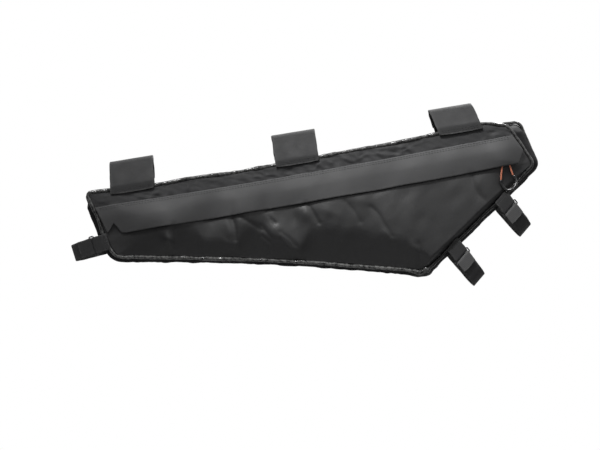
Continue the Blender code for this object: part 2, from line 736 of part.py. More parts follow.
for key, (share, lean) in WIDE_STRAPS.items():
    middle = share * BAG_LENGTH - REAR_REACH
    reach = (middle - WIDE_STRAP_WIDTH / 2, middle, middle + WIDE_STRAP_WIDTH / 2)
    near_seam = min(seam_level(near_lines["top"], a) for a in reach)
    far_seam = min(seam_level(far_lines["top"], a) for a in reach)
    near_foot = max(seam_level(near_lines["top"], a) for a in reach)
    far_foot = max(seam_level(far_lines["top"], a) for a in reach)

    def wide_path(radius, thickness):
        """Across Y and down, from the near foot over the tube to the far foot."""
        y = binding_out + GAP + thickness / 2
        near_knee, far_knee = (-y, near_seam - binding_tall - 0.001), (y, far_seam - binding_tall - 0.001)
        start = tangent_angle(near_knee, (0, 0), radius, 1)
        stop = tangent_angle(far_knee, (0, 0), radius, -1)
        while stop < start:
            stop += 2 * math.pi
        return near_knee, far_knee, start, stop, y

    def put(p, w, near_foot=near_foot, middle=middle, lean=lean):
        y, down = p
        share_up = (near_foot - down) / (near_foot + wide_radius)
        return world(middle + w + lean * WIDE_STRAP_WIDTH * share_up, down, y)

    _, tab_knee, _, tab_stop, tab_y = wide_path(tab_radius, TAB_THICKNESS)
    tab_arc = arc((0, 0), tab_radius, 1.5 * math.pi - TAB_PAST_TOP, tab_stop, 10)
    path = [*tab_arc, tab_knee, (tab_y, far_foot + 0.001)]
    strap("top_tube_tab_" + key, path, TAB_THICKNESS, WIDE_STRAP_WIDTH - 0.002, put, WEBBING)

    near_knee, _, start, _, y = wide_path(wide_radius, WIDE_STRAP_THICKNESS)
    last = arc((0, 0), wide_radius, start, tab_stop, 14)
    toward = np.array(tab_knee) - tab_arc[-1]
    leg = np.linalg.norm(toward)
    path = [(-y, near_foot + 0.001), near_knee, *last]
    if leg > STRAP_END_SHORT + 0.001:
        path.append(last[-1] + unit(toward) * (leg - STRAP_END_SHORT))
    strap("top_tube_strap_" + key, path, WIDE_STRAP_THICKNESS, WIDE_STRAP_WIDTH, put, WEBBING)


# The narrow straps: an anchor on the near seam holds a wire ring, and the strap comes from the far seam
# round the tube, through the ring and back over itself


def edge_distance(line, origin, along_tube, off_bag):
    """How near the bag's edge comes to the tube's axis within the strap's width."""
    found = []
    for along, down in line:
        x, _, z = world(along, down, 0)
        v = np.array([x, z]) - origin
        if abs(v @ along_tube) < NARROW_STRAP_WIDTH * 0.9:
            found.append(-(v @ off_bag))
    return min(found)


def narrow(suffix, prefix, side_name, share, along_tube, off_bag, tube_radius, seam_gap, room, fold_back, skew):
    """One set of anchor, ring and strap, where a share of one side of the outline lies along the tube."""
    line = near_lines[side_name]
    meets = at_length(line, lengths(line)[-1] * share)
    x, _, z = world(meets[0], meets[1], 0)
    origin = np.array([x, z]) + off_bag * (tube_radius + seam_gap)
    seam = edge_distance(near_lines[side_name], origin, along_tube, off_bag)
    far_seam = edge_distance(far_lines[side_name], origin, along_tube, off_bag)
    t = NARROW_STRAP_THICKNESS
    turn = RING_WIRE_RADIUS + GAP + t / 2
    inner = tube_radius + STRAP_TUBE_GAP + t / 2
    centre = np.array([room, 0.0])
    foot_y = binding_out + GAP + t / 2
    knee = -seam + binding_tall + 0.0008
    line_y = foot_y - turn

    def put(p, w):
        off, y = p
        x, z = np.array(origin) + off_bag * off + along_tube * (w + skew * off)
        return (x, y, z)

    # the near leg: a middle line from the knee to where it touches a circle just outside the strap
    start = np.array([knee, -line_y])
    touch = tangent_angle(start, centre, inner + turn, 1)
    end = centre + (inner + turn) * np.array([math.cos(touch), math.sin(touch)])
    way = unit(end - start)
    side = np.array([way[1], -way[0]])
    leg = np.linalg.norm(end - start)
    first = leg * RING_FROM_SEAM
    second = first + RING_SPREAD
    bar_one, bar_two = start + way * first, start + way * second
    # the anchor goes out along the outer side, round the first bar and back
    heading = math.atan2(side[1], side[0])
    around = arc(bar_one, turn, heading, heading + math.pi, 6)
    if np.dot(around[3] - bar_one, way) < 0:
        around = arc(bar_one, turn, heading, heading - math.pi, 6)
    back = around[-1] - way * ANCHOR_RETURN
    anchor = [(-seam - 0.001, -foot_y), (knee, -foot_y), *around, back]
    strap(prefix + "anchor" + suffix, anchor, t, NARROW_STRAP_WIDTH, put, WEBBING)
    # the strap comes from the far seam round the tube to the second bar, round it and back outside
    far_knee = np.array([-far_seam + binding_tall + 0.0008, foot_y])
    far_touch = tangent_angle(far_knee, centre, inner, -1)
    while far_touch < 0:
        far_touch += 2 * math.pi
    if far_touch > math.pi:
        far_touch -= 2 * math.pi
    near_touch = math.atan2((end - centre)[1], (end - centre)[0])
    rounding = arc(centre, inner, far_touch, near_touch, 14)
    u_turn = arc(bar_two, turn, heading + math.pi, heading + 2 * math.pi, 6)
    if np.dot(u_turn[3] - bar_two, way) > 0:
        u_turn = arc(bar_two, turn, heading + math.pi, heading, 6)
    tail = []
    reach = leg - second
    if fold_back <= reach:
        tail.append(u_turn[-1] + way * fold_back)
    else:
        tail.append(u_turn[-1] + way * reach)
        outer = inner + 2 * turn
        swept = (fold_back - reach) / outer
        tail += list(arc(centre, outer, near_touch, near_touch + swept, 3)[1:])
    path = [(-far_seam - 0.001, foot_y), far_knee, *rounding, *u_turn, *tail]
    strap(prefix + "strap" + suffix, path, t, NARROW_STRAP_WIDTH, put, WEBBING)
    # the ring: a wire bent to a long rectangle that lies in the strap's path
    half_width = NARROW_STRAP_WIDTH / 2 + RING_SIDE_GAP + RING_WIRE_RADIUS
    corners = [put(bar_one, -half_width), put(bar_two, -half_width), put(bar_two, half_width), put(bar_one, half_width)]
    corners = np.array(corners)
    normal = np.cross(corners[1] - corners[0], corners[3] - corners[0])
    ring_tube(prefix + "ring" + suffix, corners, normal, RING_WIRE_RADIUS, 8, WIRE)


up_down_tube = np.array([math.cos(DOWN_TUBE_SLOPE), math.sin(DOWN_TUBE_SLOPE)])
off_down_tube = np.array([math.sin(DOWN_TUBE_SLOPE), -math.cos(DOWN_TUBE_SLOPE)])
for key, (share, seam_gap) in DOWN_STRAPS.items():
    narrow(
        "_" + key, "down_tube_", "down_tube", share, up_down_tube, off_down_tube, DOWN_TUBE_RADIUS,
        seam_gap, CABLE_ROOM_DOWN_TUBE, FOLD_BACK_DOWN_TUBE, DOWN_STRAP_SKEW,
    )

up_seat_tube = np.array([-math.sin(SEAT_TUBE_LEAN), math.cos(SEAT_TUBE_LEAN)])
off_seat_tube = np.array([-math.cos(SEAT_TUBE_LEAN), -math.sin(SEAT_TUBE_LEAN)])
narrow(
    "", "seat_tube_", "rear", 1 - SEAT_STRAP, up_seat_tube, off_seat_tube, SEAT_TUBE_RADIUS,
    SEAM_TO_SEAT_TUBE, CABLE_ROOM_SEAT_TUBE, FOLD_BACK_SEAT_TUBE, SEAT_STRAP_SKEW,
)
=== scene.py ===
"""The looks of a bicycle frame bag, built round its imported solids.

Metres, +Z up, +X forward along the bicycle, +Y to the far side. A place on the bag is (along, down): along
the top tube from the origin, and down from the tube's axis, square to it. The sizes are those of the solids.
"""

import math
from collections import namedtuple

import bpy
import numpy as np
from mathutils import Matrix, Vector

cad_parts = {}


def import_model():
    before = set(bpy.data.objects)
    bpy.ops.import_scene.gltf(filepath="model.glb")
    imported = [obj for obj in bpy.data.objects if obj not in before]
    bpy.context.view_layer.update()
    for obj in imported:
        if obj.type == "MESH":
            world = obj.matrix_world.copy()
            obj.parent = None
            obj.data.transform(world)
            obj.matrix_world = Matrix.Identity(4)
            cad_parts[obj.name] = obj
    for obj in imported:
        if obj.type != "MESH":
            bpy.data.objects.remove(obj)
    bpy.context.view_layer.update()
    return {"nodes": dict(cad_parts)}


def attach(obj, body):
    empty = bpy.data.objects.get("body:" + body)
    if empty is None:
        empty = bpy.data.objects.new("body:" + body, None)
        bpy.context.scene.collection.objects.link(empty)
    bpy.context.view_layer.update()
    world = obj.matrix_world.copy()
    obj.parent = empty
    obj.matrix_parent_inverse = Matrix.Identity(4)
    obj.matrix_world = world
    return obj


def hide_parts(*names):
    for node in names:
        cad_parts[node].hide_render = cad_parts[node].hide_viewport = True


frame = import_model()

# Sizes that the solids have too
TOP_TUBE_SLOPE = math.radians(9.33)
TOP_TUBE_RADIUS = 0.0159
DOWN_TUBE_SLOPE = math.radians(49.4)
DOWN_TUBE_RADIUS = 0.01905
SEAT_TUBE_LEAN = math.radians(17.7)
SEAT_TUBE_RADIUS = 0.0143
BAG_LENGTH = 0.531
BAG_DEPTH = 0.157
REAR_REACH = 0.252
SEAM_DROP = 0.013
SEAM_WIDTH = 0.052
CORNER_ROUND = 0.010
NEAR_CROWN = 0.0105
FAR_CROWN = 0.0085
CROWN_REACH = 0.060
WALL = 0.0012
GAP = 0.0003
GUSSET_BULGE = 0.008
TUBE_CLEARANCE = 0.0013
HOLLOW_EASE = 0.014
BINDING_RADIUS = 0.0018
BINDING_GAP = 0.0005
ZIP_DROP_REAR = 0.050
ZIP_DROP_FRONT = 0.0442
ZIP_SAG = 0.003
ZIP_WIDTH = 0.007
COIL_HEIGHT = 0.0009
FLAP_ABOVE = 0.017
FLAP_BELOW = 0.018
FLAP_LIFT = 0.0028
FLAP_WALL = 0.001
NOTCH_DEPTH = 0.0125
NOTCH_WIDTH = 0.018
SLIDER_LENGTH = 0.011
SLIDER_PLATE = 0.0007
BRIDGE_WALL = 0.0007
PULL_CORD_RADIUS = 0.001
PULL_END_RADIUS = 0.0012
WIDE_STRAP_WIDTH = 0.0525
WIDE_STRAP_THICKNESS = 0.002
TAB_THICKNESS = 0.0018
STRAP_TUBE_GAP = 0.0004
TAB_PAST_TOP = math.radians(38)
STRAP_END_SHORT = 0.006
NARROW_STRAP_WIDTH = 0.020
NARROW_STRAP_THICKNESS = 0.0016
RING_WIRE_RADIUS = 0.0008
RING_SPREAD = 0.0055
RING_SIDE_GAP = 0.0006
RING_FROM_SEAM = 0.34
ANCHOR_RETURN = 0.0045
SEAM_TO_DOWN_TUBE_LOWER = 0.0062
SEAM_TO_DOWN_TUBE_UPPER = 0.0022
SEAM_TO_SEAT_TUBE = 0.0105
CABLE_ROOM_DOWN_TUBE = 0.0075
CABLE_ROOM_SEAT_TUBE = 0.0040
FOLD_BACK_DOWN_TUBE = 0.0115
FOLD_BACK_SEAT_TUBE = 0.0150
HALF = SEAM_WIDTH / 2

# near along, near down, far along, far down, round: shares of the bag's length, depth and corner round
OUTLINE = {
    "rear_top": (0.002, 0.017, -0.004, 0.000, 0.40),
    "rear_strap": (0.060, 0.026, 0.056, 0.020, 0),
    "top_1": (0.150, 0.043, 0.150, 0.030, 0),
    "top_2": (0.240, 0.036, 0.240, 0.030, 0),
    "top_3": (0.331, 0.045, 0.331, 0.038, 0),
    "mid_strap": (0.475, 0.037, 0.475, 0.037, 0),
    "top_4": (0.617, 0.023, 0.617, 0.030, 0),
    "top_5": (0.695, 0.022, 0.695, 0.020, 0),
    "front_strap": (0.850, -0.008, 0.850, -0.010, 0),
    "top_6": (0.905, -0.014, 0.915, -0.018, 0),
    "front_top": (0.955, 0.030, 0.990, -0.012, 0.70),
    "nose": (0.996, 0.333, 1.014, 0.325, 0.60),
    "down_tube_1": (0.920, 0.529, 0.930, 0.533, 0),
    "down_tube_2": (0.869, 0.646, 0.878, 0.650, 0),
    "down_tube_3": (0.805, 0.799, 0.812, 0.806, 0),
    "heel": (0.715, 1.006, 0.722, 1.016, 1.30),
    "bottom_1": (0.679, 0.965, 0.683, 0.975, 0),
    "bottom_2": (0.601, 0.899, 0.603, 0.905, 0),
    "bottom_3": (0.459, 0.784, 0.460, 0.788, 0),
    "bottom_4": (0.364, 0.714, 0.364, 0.716, 0),
    "bottom_5": (0.201, 0.608, 0.200, 0.610, 0),
    "rear_bottom": (0.042, 0.512, 0.036, 0.516, 0.90),
    "rear_1": (0.028, 0.381, 0.020, 0.383, 0),
    "rear_2": (0.017, 0.205, 0.009, 0.200, 0),
}
BULGE = {"front": 0.75, "down_tube": 0.60, "bottom": 0.70, "rear": 0.95}
WIDE_STRAPS = {"rear": (0.1005, 0.075), "mid": (0.4765, 0.015), "front": (0.8500, -0.125)}
DOWN_STRAPS = {"lower": (0.768, SEAM_TO_DOWN_TUBE_LOWER), "upper": (0.318, SEAM_TO_DOWN_TUBE_UPPER)}
DOWN_STRAP_SKEW = -0.18
SEAT_STRAP = 0.760
SEAT_STRAP_SKEW = 0.02
SLIDER_AT = 0.938
FLAP_END = 0.968
NOTCH_AT = 0.031

# (along, down, height off the cloth)
PULL_CORD_POINTS = [
    (0.2366, 0.0790, 0.0021), (0.2378, 0.0738, 0.0014), (0.2396, 0.0668, 0.0007), (0.2414, 0.0600, 0.0006),
    (0.2428, 0.0535, 0.0017), (0.2433, 0.0488, 0.0024), (0.2444, 0.0459, 0.0025), (0.2461, 0.0450, 0.0025),
    (0.2478, 0.0459, 0.0025), (0.2488, 0.0488, 0.0024), (0.2489, 0.0535, 0.0017), (0.2494, 0.0600, 0.0006),
    (0.2502, 0.0668, 0.0007), (0.2515, 0.0738, 0.0016), (0.2520, 0.0755, 0.0019),
]
PULL_END_POINTS = [
    (0.2364, 0.0796, 0.0024), (0.2366, 0.0835, 0.0026), (0.2383, 0.0878, 0.0030), (0.2414, 0.0912, 0.0035),
    (0.2450, 0.0925, 0.0038), (0.2492, 0.0917, 0.0038), (0.2528, 0.0885, 0.0036), (0.2546, 0.0842, 0.0032),
    (0.2541, 0.0800, 0.0026), (0.2524, 0.0762, 0.0023),
]

# Where the near side's cloth stands out furthest, (along, down)
CREST = [
    (-0.2630, 0.0520), (-0.2200, 0.0590), (-0.1840, 0.0650), (-0.1375, 0.0740), (-0.1238, 0.0890),
    (-0.1034, 0.0950), (-0.0960, 0.0985), (-0.0865, 0.0975), (-0.0777, 0.0835), (-0.0615, 0.0801),
    (-0.0470, 0.0945), (-0.0335, 0.1076), (-0.0165, 0.1212), (-0.0063, 0.1108), (0.0046, 0.0958),
    (0.0179, 0.0950), (0.0338, 0.1011), (0.0558, 0.1066), (0.0749, 0.1140), (0.0942, 0.1180),
    (0.1099, 0.1270), (0.1223, 0.1400), (0.1399, 0.1500), (0.1640, 0.1520),
]
# How far the near side's cloth stands out from its seams at most, at places along it
FULLNESS = [
    (-0.262, 0.0078), (-0.160, 0.0092), (-0.060, 0.0104), (0.010, 0.0122), (0.070, 0.0132), (0.130, 0.0130),
    (0.180, 0.0108), (0.225, 0.0084), (0.250, 0.0070), (0.290, 0.0040),
]
# Broad waves that are highest at the flap's lower edge: along, half width, height
WAVES = [
    (-0.2200, 0.018, -0.0026), (-0.1560, 0.017, 0.0054), (-0.1110, 0.016, -0.0042), (-0.0700, 0.014, 0.0018),
    (-0.0420, 0.011, -0.0026),
    (0.0480, 0.024, 0.0020), (0.0960, 0.018, -0.0006), (0.1450, 0.026, 0.0014), (0.2020, 0.018, -0.0008),
]
# Soft folds in the near side's cloth: along, down, turn (degrees from the top tube's line, clockwise), half
# length, half width, height (metres)
FOLDS = [
    (-0.1640, 0.0940, 78, 0.0150, 0.0062, 0.0058),
    (-0.0924, 0.0847, 84, 0.0130, 0.0070, 0.0014),
    (-0.0441, 0.0755, 50, 0.0110, 0.0052, 0.0013),
    (-0.0023, 0.0790, 50, 0.0135, 0.0100, 0.0017),
    (-0.0400, 0.0941, 28, 0.0130, 0.0110, 0.0010),
    (-0.0230, 0.1080, 46, 0.0170, 0.0065, 0.0013),
    (-0.0470, 0.1130, 54, 0.0160, 0.0028, 0.0007),
    (-0.0910, 0.1090, 52, 0.0160, 0.0032, 0.0006),
    (0.0680, 0.0761, 20, 0.0150, 0.0080, 0.0010),
    (0.0939, 0.1237, 52, 0.0090, 0.0060, 0.0011),
    (0.0300, 0.0850, 30, 0.0160, 0.0070, 0.0007),
]
# Sharp creases between the folds: places (along, down), depth, half width
CREASES = [
    ([(-0.1560, 0.0680), (-0.1590, 0.0830), (-0.1605, 0.0950)], 0.0012, 0.0020),
    ([(0.0029, 0.0690), (0.0084, 0.0796), (0.0143, 0.0950)], 0.0013, 0.0020),
    ([(-0.0869, 0.0735), (-0.0853, 0.0858), (-0.0863, 0.0989)], 0.0014, 0.0022),
    ([(-0.0467, 0.0705), (-0.0430, 0.0777), (-0.0373, 0.0865)], 0.0009, 0.0022),
    ([(-0.0320, 0.0982), (-0.0218, 0.1095), (-0.0131, 0.1230)], 0.0008, 0.0024),
    ([(-0.0531, 0.0875), (-0.0437, 0.1035), (-0.0358, 0.1072)], 0.0010, 0.0022),
    ([(0.0784, 0.0862), (0.0853, 0.0958), (0.0911, 0.1112), (0.0974, 0.1243)], 0.0009, 0.0022),
    ([(0.0491, 0.0742), (0.0577, 0.0876), (0.0626, 0.1017)], 0.0007, 0.0022),
    ([(-0.0966, 0.1032), (-0.0882, 0.1106), (-0.0813, 0.1202)], 0.0007, 0.0016),
    ([(-0.0550, 0.0992), (-0.0470, 0.1090), (-0.0385, 0.1236)], 0.0008, 0.0016),
    ([(0.1264, 0.1387), (0.1272, 0.1484), (0.1241, 0.1600)], 0.0012, 0.0035),
    ([(-0.0771, 0.0727), (-0.0644, 0.0832), (-0.0539, 0.0922)], 0.0008, 0.0022),
    ([(0.2010, 0.0660), (0.2035, 0.0800), (0.2070, 0.0910), (0.2164, 0.1041)], 0.0010, 0.0032),
]
# Steps along each line of the outline
STEPS = {"top": 300, "front": 36, "down_tube": 100, "bottom": 190, "rear": 56}
EDGE_STEPS = 40
EDGE_POINTS = 160
BEND_POINTS = 25

# The view of the photograph. The camera is low, and its picture was cut from a taller one

CAMERA = Vector((-0.017, -3.70, -0.331))
AIM = Vector((0.0072, 0.0, -0.0914))
METRES_PER_PIXEL = 0.0012
PHOTO_WIDTH = 600
SENSOR_WIDTH = 36


def aimed(name, data, place, aim):
    """A camera or a lamp at one place, turned towards another."""
    obj = bpy.data.objects.new(name, data)
    bpy.context.scene.collection.objects.link(obj)
    obj.location = place
    obj.rotation_mode = "QUATERNION"
    obj.rotation_quaternion = (Vector(aim) - Vector(place)).to_track_quat("-Z", "Y")
    return obj


camera_data = bpy.data.cameras.new("camera")
camera_data.sensor_width = SENSOR_WIDTH
camera_data.lens = SENSOR_WIDTH * (AIM - CAMERA).length / (PHOTO_WIDTH * METRES_PER_PIXEL)
camera_data.clip_start, camera_data.clip_end = 0.05, 60
bpy.context.scene.camera = aimed("camera", camera_data, CAMERA, AIM)


# Lines

def world(along, down, y):
    """A place on the bag as x, y, z."""
    c, s = math.cos(TOP_TUBE_SLOPE), math.sin(TOP_TUBE_SLOPE)
    return np.stack(np.broadcast_arrays(along * c + down * s, y, along * s - down * c), axis=-1)


def unit(v):
    v = np.asarray(v, float)
    return v / np.maximum(np.linalg.norm(v, axis=-1, keepdims=True), 1e-12)


def through(points, steps=12):
    """A smooth curve through the points, as many short straight lines."""
    p = np.array(points, float)
    q = np.vstack([2 * p[0] - p[1], p, 2 * p[-1] - p[-2]])
    out = []
    for a, b, c, d in zip(q, q[1:], q[2:], q[3:]):
        second, third = 2 * a - 5 * b + 4 * c - d, 3 * b - a - 3 * c + d
        for t in np.linspace(0, 1, steps, endpoint=False):
            out.append(0.5 * (2 * b + (c - a) * t + second * t**2 + third * t**3))
    out.append(q[-2])
    return np.array(out)


def bend(start, corner, end, n):
    """n points on the curve that rounds a corner off."""
    t = np.linspace(0, 1, n)[:, None]
    return start * (1 - t) ** 2 + 2 * corner * t * (1 - t) + end * t**2


def lengths(line):
    return np.concatenate([[0], np.cumsum(np.linalg.norm(np.diff(line, axis=0), axis=1))])


def loop_lengths(loop):
    """The lengths along a closed line, up to its first point again."""
    return lengths(np.vstack([loop, loop[:1]]))


def at_length(line, s):
    along = lengths(line)
    return np.stack([np.interp(s, along, line[:, k]) for k in range(line.shape[1])], axis=-1)


def even(line, n):
    """n + 1 points at equal steps along a line."""
    return at_length(line, np.linspace(0, lengths(line)[-1], n + 1))


def from_ends(s, total, reach):
    """0 at both ends of a length, rising to 1 over the reach."""
    return np.clip(np.minimum(s, total - s) / reach, 0, 1)


def level(line, along):
    """How far down a line is that runs forward."""
    return np.interp(along, line[:, 0], line[:, 1])


def side_outline(along_column, down_column):
    """The closed outline as five lines that meet at the middle of the end corners."""
    pts = {}
    for name, row in OUTLINE.items():
        along = row[along_column] * BAG_LENGTH - REAR_REACH
        pts[name] = np.array([along, SEAM_DROP + row[down_column] * BAG_DEPTH])
    names = [*OUTLINE, next(iter(OUTLINE))]
    corners = [i for i, name in enumerate(names) if OUTLINE[name][4] > 0]
    trimmed = []
    for first, last in zip(corners, corners[1:]):
        run = np.array([pts[name] for name in names[first : last + 1]])
        line = through(run) if len(run) > 2 else even(run, 12)
        total = lengths(line)[-1]
        cut_a, cut_b = (min(OUTLINE[names[i]][4] * CORNER_ROUND, total / 3) for i in (first, last))
        trimmed.append(at_length(line, np.linspace(cut_a, total - cut_b, EDGE_POINTS)))
    whole, middles = [], []
    for i, corner in enumerate(corners[:-1]):
        rounded = bend(trimmed[i - 1][-1], pts[names[corner]], trimmed[i][0], BEND_POINTS)[1:-1]
        middles.append(len(whole) + len(rounded) // 2)
        whole += [*rounded, *trimmed[i]]
    whole = np.array(whole)
    lines = {}
    for key, i, j in zip(STEPS, middles, middles[1:] + middles[:1]):
        lines[key] = whole[i : j + 1] if j > i else np.vstack([whole[i:], whole[: j + 1]])
    return lines


def loop_of(lines, steps):
    return np.vstack([even(lines[k], n)[:-1] for k, n in steps.items()])


near_lines, far_lines = side_outline(0, 1), side_outline(2, 3)
near_loop, far_loop = loop_of(near_lines, STEPS), loop_of(far_lines, STEPS)


def outward(loop):
    """At each point of a closed outline, the direction that points out of it."""
    d = np.roll(loop, -2, axis=0) - np.roll(loop, 2, axis=0)
    return unit(np.stack([d[:, 1], -d[:, 0]], axis=1))


def distance(points, line, closed=False):
    """How far each point is from a line."""
    p = np.asarray(points, float).reshape(-1, 2)
    a = line if closed else line[:-1]
    b = np.roll(line, -1, axis=0) if closed else line[1:]
    best = np.full(len(p), np.inf)
    for start, end in zip(a, b):
        e = end - start
        t = np.clip(((p - start) @ e) / max(e @ e, 1e-18), 0, 1)
        best = np.minimum(best, np.hypot(*(p - start - t[:, None] * e).T))
    return best.reshape(np.shape(points)[:-1])


near_edges = {k: even(v, EDGE_STEPS) for k, v in near_lines.items()}
far_edges = {k: even(v, EDGE_STEPS) for k, v in far_lines.items()}
near_round = np.vstack([near_edges[k][:-1] for k in STEPS])


def zip_down(along):
    """How far the middle of the zip is below the tube's axis."""
    t = (along + REAR_REACH) / BAG_LENGTH
    return ZIP_DROP_REAR * (1 - t) + ZIP_DROP_FRONT * t + ZIP_SAG * 4 * t * (1 - t)


def noise(u, v, seed, size=64):
    """Smooth random heights from -1 to 1, the same in each run."""
    table = np.random.default_rng(seed).random((size, size)) * 2 - 1
    iu, iv = np.floor(u).astype(int), np.floor(v).astype(int)
    fu, fv = u - iu, v - iv
    fu, fv = fu * fu * (3 - 2 * fu), fv * fv * (3 - 2 * fv)
    a, b = table[iu % size, iv % size], table[(iu + 1) % size, iv % size]
    c, d = table[iu % size, (iv + 1) % size], table[(iu + 1) % size, (iv + 1) % size]
    return (a * (1 - fu) + b * fu) * (1 - fv) + (c * (1 - fu) + d * fu) * fv


def wave(u, seed):
    """Noise that changes in one direction only."""
    return noise(u, u * 0, seed)


def folded(u, v, seed):
    """Like noise, with sharp ridges as in crumpled cloth, from 0 to 1."""
    return 1 - np.abs(noise(u, v, seed))


def smoothed(values, reach=12):
    """The values along a closed line, each as the mean of those within reach of it."""
    count = 2 * reach + 1
    return np.convolve(np.pad(values, reach, mode="wrap"), np.ones(count) / count, "valid")


# How far each side's cloth stands out

def rise(depth, reach, power=2.2):
    """From 0 at an edge to 1 at its reach, steepest at the edge."""
    return 1 - (1 - np.clip(depth / reach, 0, 1)) ** power


def hump(*shares):
    """1 where all shares are 0, falling off to 0 on every side."""
    return np.exp(-sum(share**2 for share in shares))


def least(values, sharpness):
    """The smallest of the values at each point, with a soft change from one to the next."""
    return (np.maximum(values, 1e-6) ** -sharpness).sum(axis=0) ** (-1 / sharpness)


# How far in three of the edges hold the near cloth down, and how bowed it is there
EDGE_HOLD = {"down_tube": (0.0065, 1.5), "rear": (0.075, 1.7), "front": (0.050, 1.5)}
# The cloth keeps to the solid's crown under the zip pull: its middle and its half size
PULL_MIDDLE = (0.246, 0.070)
PULL_HALF = (0.017, 0.026)
crest_line = through(CREST)
fullness_line = np.array(FULLNESS)
heel_along = float(near_lines["bottom"][0, 0])


def fold_heights(points, fold_share=0.85, crease_share=1.05, crease_spread=1.35):
    """The near side's own folds and creases."""
    total = np.zeros(points.shape[:-1])
    for along, down, turn, half_length, half_width, height in FOLDS:
        t = math.radians(turn)
        a, d = points[..., 0] - along, points[..., 1] - down
        u = (a * math.cos(t) + d * math.sin(t)) / half_length
        v = (-a * math.sin(t) + d * math.cos(t)) / half_width
        total += fold_share * height * np.exp(-(np.abs(u) ** 2.5) - np.abs(v) ** 1.8)
    for places, depth, half_width in CREASES:
        t = distance(points, even(through(places, 6), 10)) / half_width
        total -= crease_share * depth * np.exp(-((t / crease_spread) ** crease_spread))
    return total


def near_relief(points):
    """How far the near side's cloth stands out from its seam at (along, down)."""
    points = np.asarray(points, float)
    along, down = points[..., 0], points[..., 1]
    top = level(near_lines["top"], along)
    bottom = level(near_lines["bottom"][::-1], along)
    slope = level(near_lines["down_tube"][::-1], along)
    crest = level(crest_line, along)
    crest = crest + 0.0030 * noise(along / 0.013 + down / 0.030, along * 0, 5)
    past_heel = np.clip((along - heel_along - 0.008) / 0.03, 0, 1)
    crest = crest * (1 - past_heel) + (slope + 0.004) * past_heel
    parts = [
        rise(down - top, np.maximum(crest - top, 0.02), 1.06),
        rise(distance(points, near_edges["bottom"]), np.maximum(bottom - crest, 0.010), 1.25),
    ]
    for key, (reach, power) in EDGE_HOLD.items():
        parts.append(rise(distance(points, near_edges[key]), reach, power))
    height = level(fullness_line, along) * 1.06 * least(parts, 11.0)
    edge = distance(points, near_round, closed=True)
    at_pull = hump((along - PULL_MIDDLE[0]) / PULL_HALF[0], (down - PULL_MIDDLE[1]) / PULL_HALF[1])
    height = height * (1 - at_pull) + NEAR_CROWN * rise(edge, CROWN_REACH) * at_pull
    inner = rise(edge, 0.022, 1.6)
    calm = 1 - 0.85 * at_pull
    below_flap = down - (zip_down(along) + FLAP_BELOW)
    under = 1 / (1 + np.exp(-(below_flap + 0.003) / 0.0025))
    climb = np.clip((below_flap + 0.040) / 0.040, 0, 1) ** 1.3 - 0.5 * np.clip(below_flap / 0.060, 0, 1)
    for at, half, tall in WAVES:
        height += tall * hump((along - at + 0.25 * (down - 0.05)) / half) * inner * calm * climb
    height += fold_heights(points) * (0.25 + 0.75 * under) * inner
    height += inner * calm * 0.00050 * noise(along / 0.034 + down / 0.05, down / 0.026, 3)
    height += inner * calm * under * 0.00030 * noise(along / 0.015, down / 0.013 + along / 0.03, 4)
    return height


def far_relief(points):
    """How far the far side's plainer cloth stands out from its seam."""
    along, down = points[..., 0], points[..., 1]
    edge = least([distance(points, line) for line in far_edges.values()], 3.5)
    inner = rise(edge, 0.026, 1.6)
    height = FAR_CROWN * rise(edge, CROWN_REACH)
    height += inner * 0.0012 * noise(along / 0.055 + down / 0.04, down / 0.048, 21)
    height += inner * 0.0007 * (folded(along / 0.040 + down / 0.030, down / 0.035 - along / 0.09, 22) - 0.5)
    height += inner * 0.00035 * noise(along / 0.017, down / 0.015 + along / 0.03, 23)
    return height


def near_y(points):
    return -(HALF + near_relief(points))


# Materials. Their coordinates are metres, in the row frame or in the piece's own map

class Tree:
    """A node tree that is being put together."""

    def __init__(self, tree):
        self.tree = tree

    def node(self, kind, **settings):
        made = self.tree.nodes.new(kind)
        for key, value in settings.items():
            setattr(made, key, value)
        return made

    def join(self, out, into):
        if hasattr(out, "is_output"):
            self.tree.links.new(out, into)
        else:
            into.default_value = out

    def filled(self, node, *values):
        """The node's first output, once its first inputs have these values."""
        for value, socket in zip(values, node.inputs):
            self.join(value, socket)
        return node.outputs[0]

    def axes(self, place):
        return self.filled(self.node("ShaderNodeSeparateXYZ"), place).node.outputs

    def math(self, operation, *values):
        return self.filled(self.node("ShaderNodeMath", operation=operation), *values)

    def spread(self, value, low, high, out_low=0.0, out_high=1.0, kind="LINEAR"):
        made = self.node("ShaderNodeMapRange", clamp=True, interpolation_type=kind)
        return self.filled(made, value, low, high, out_low, out_high)


def grey(value, blue=None):
    """A grey, whose blue may differ a little from the rest."""
    return (value, value, value if blue is None else blue)


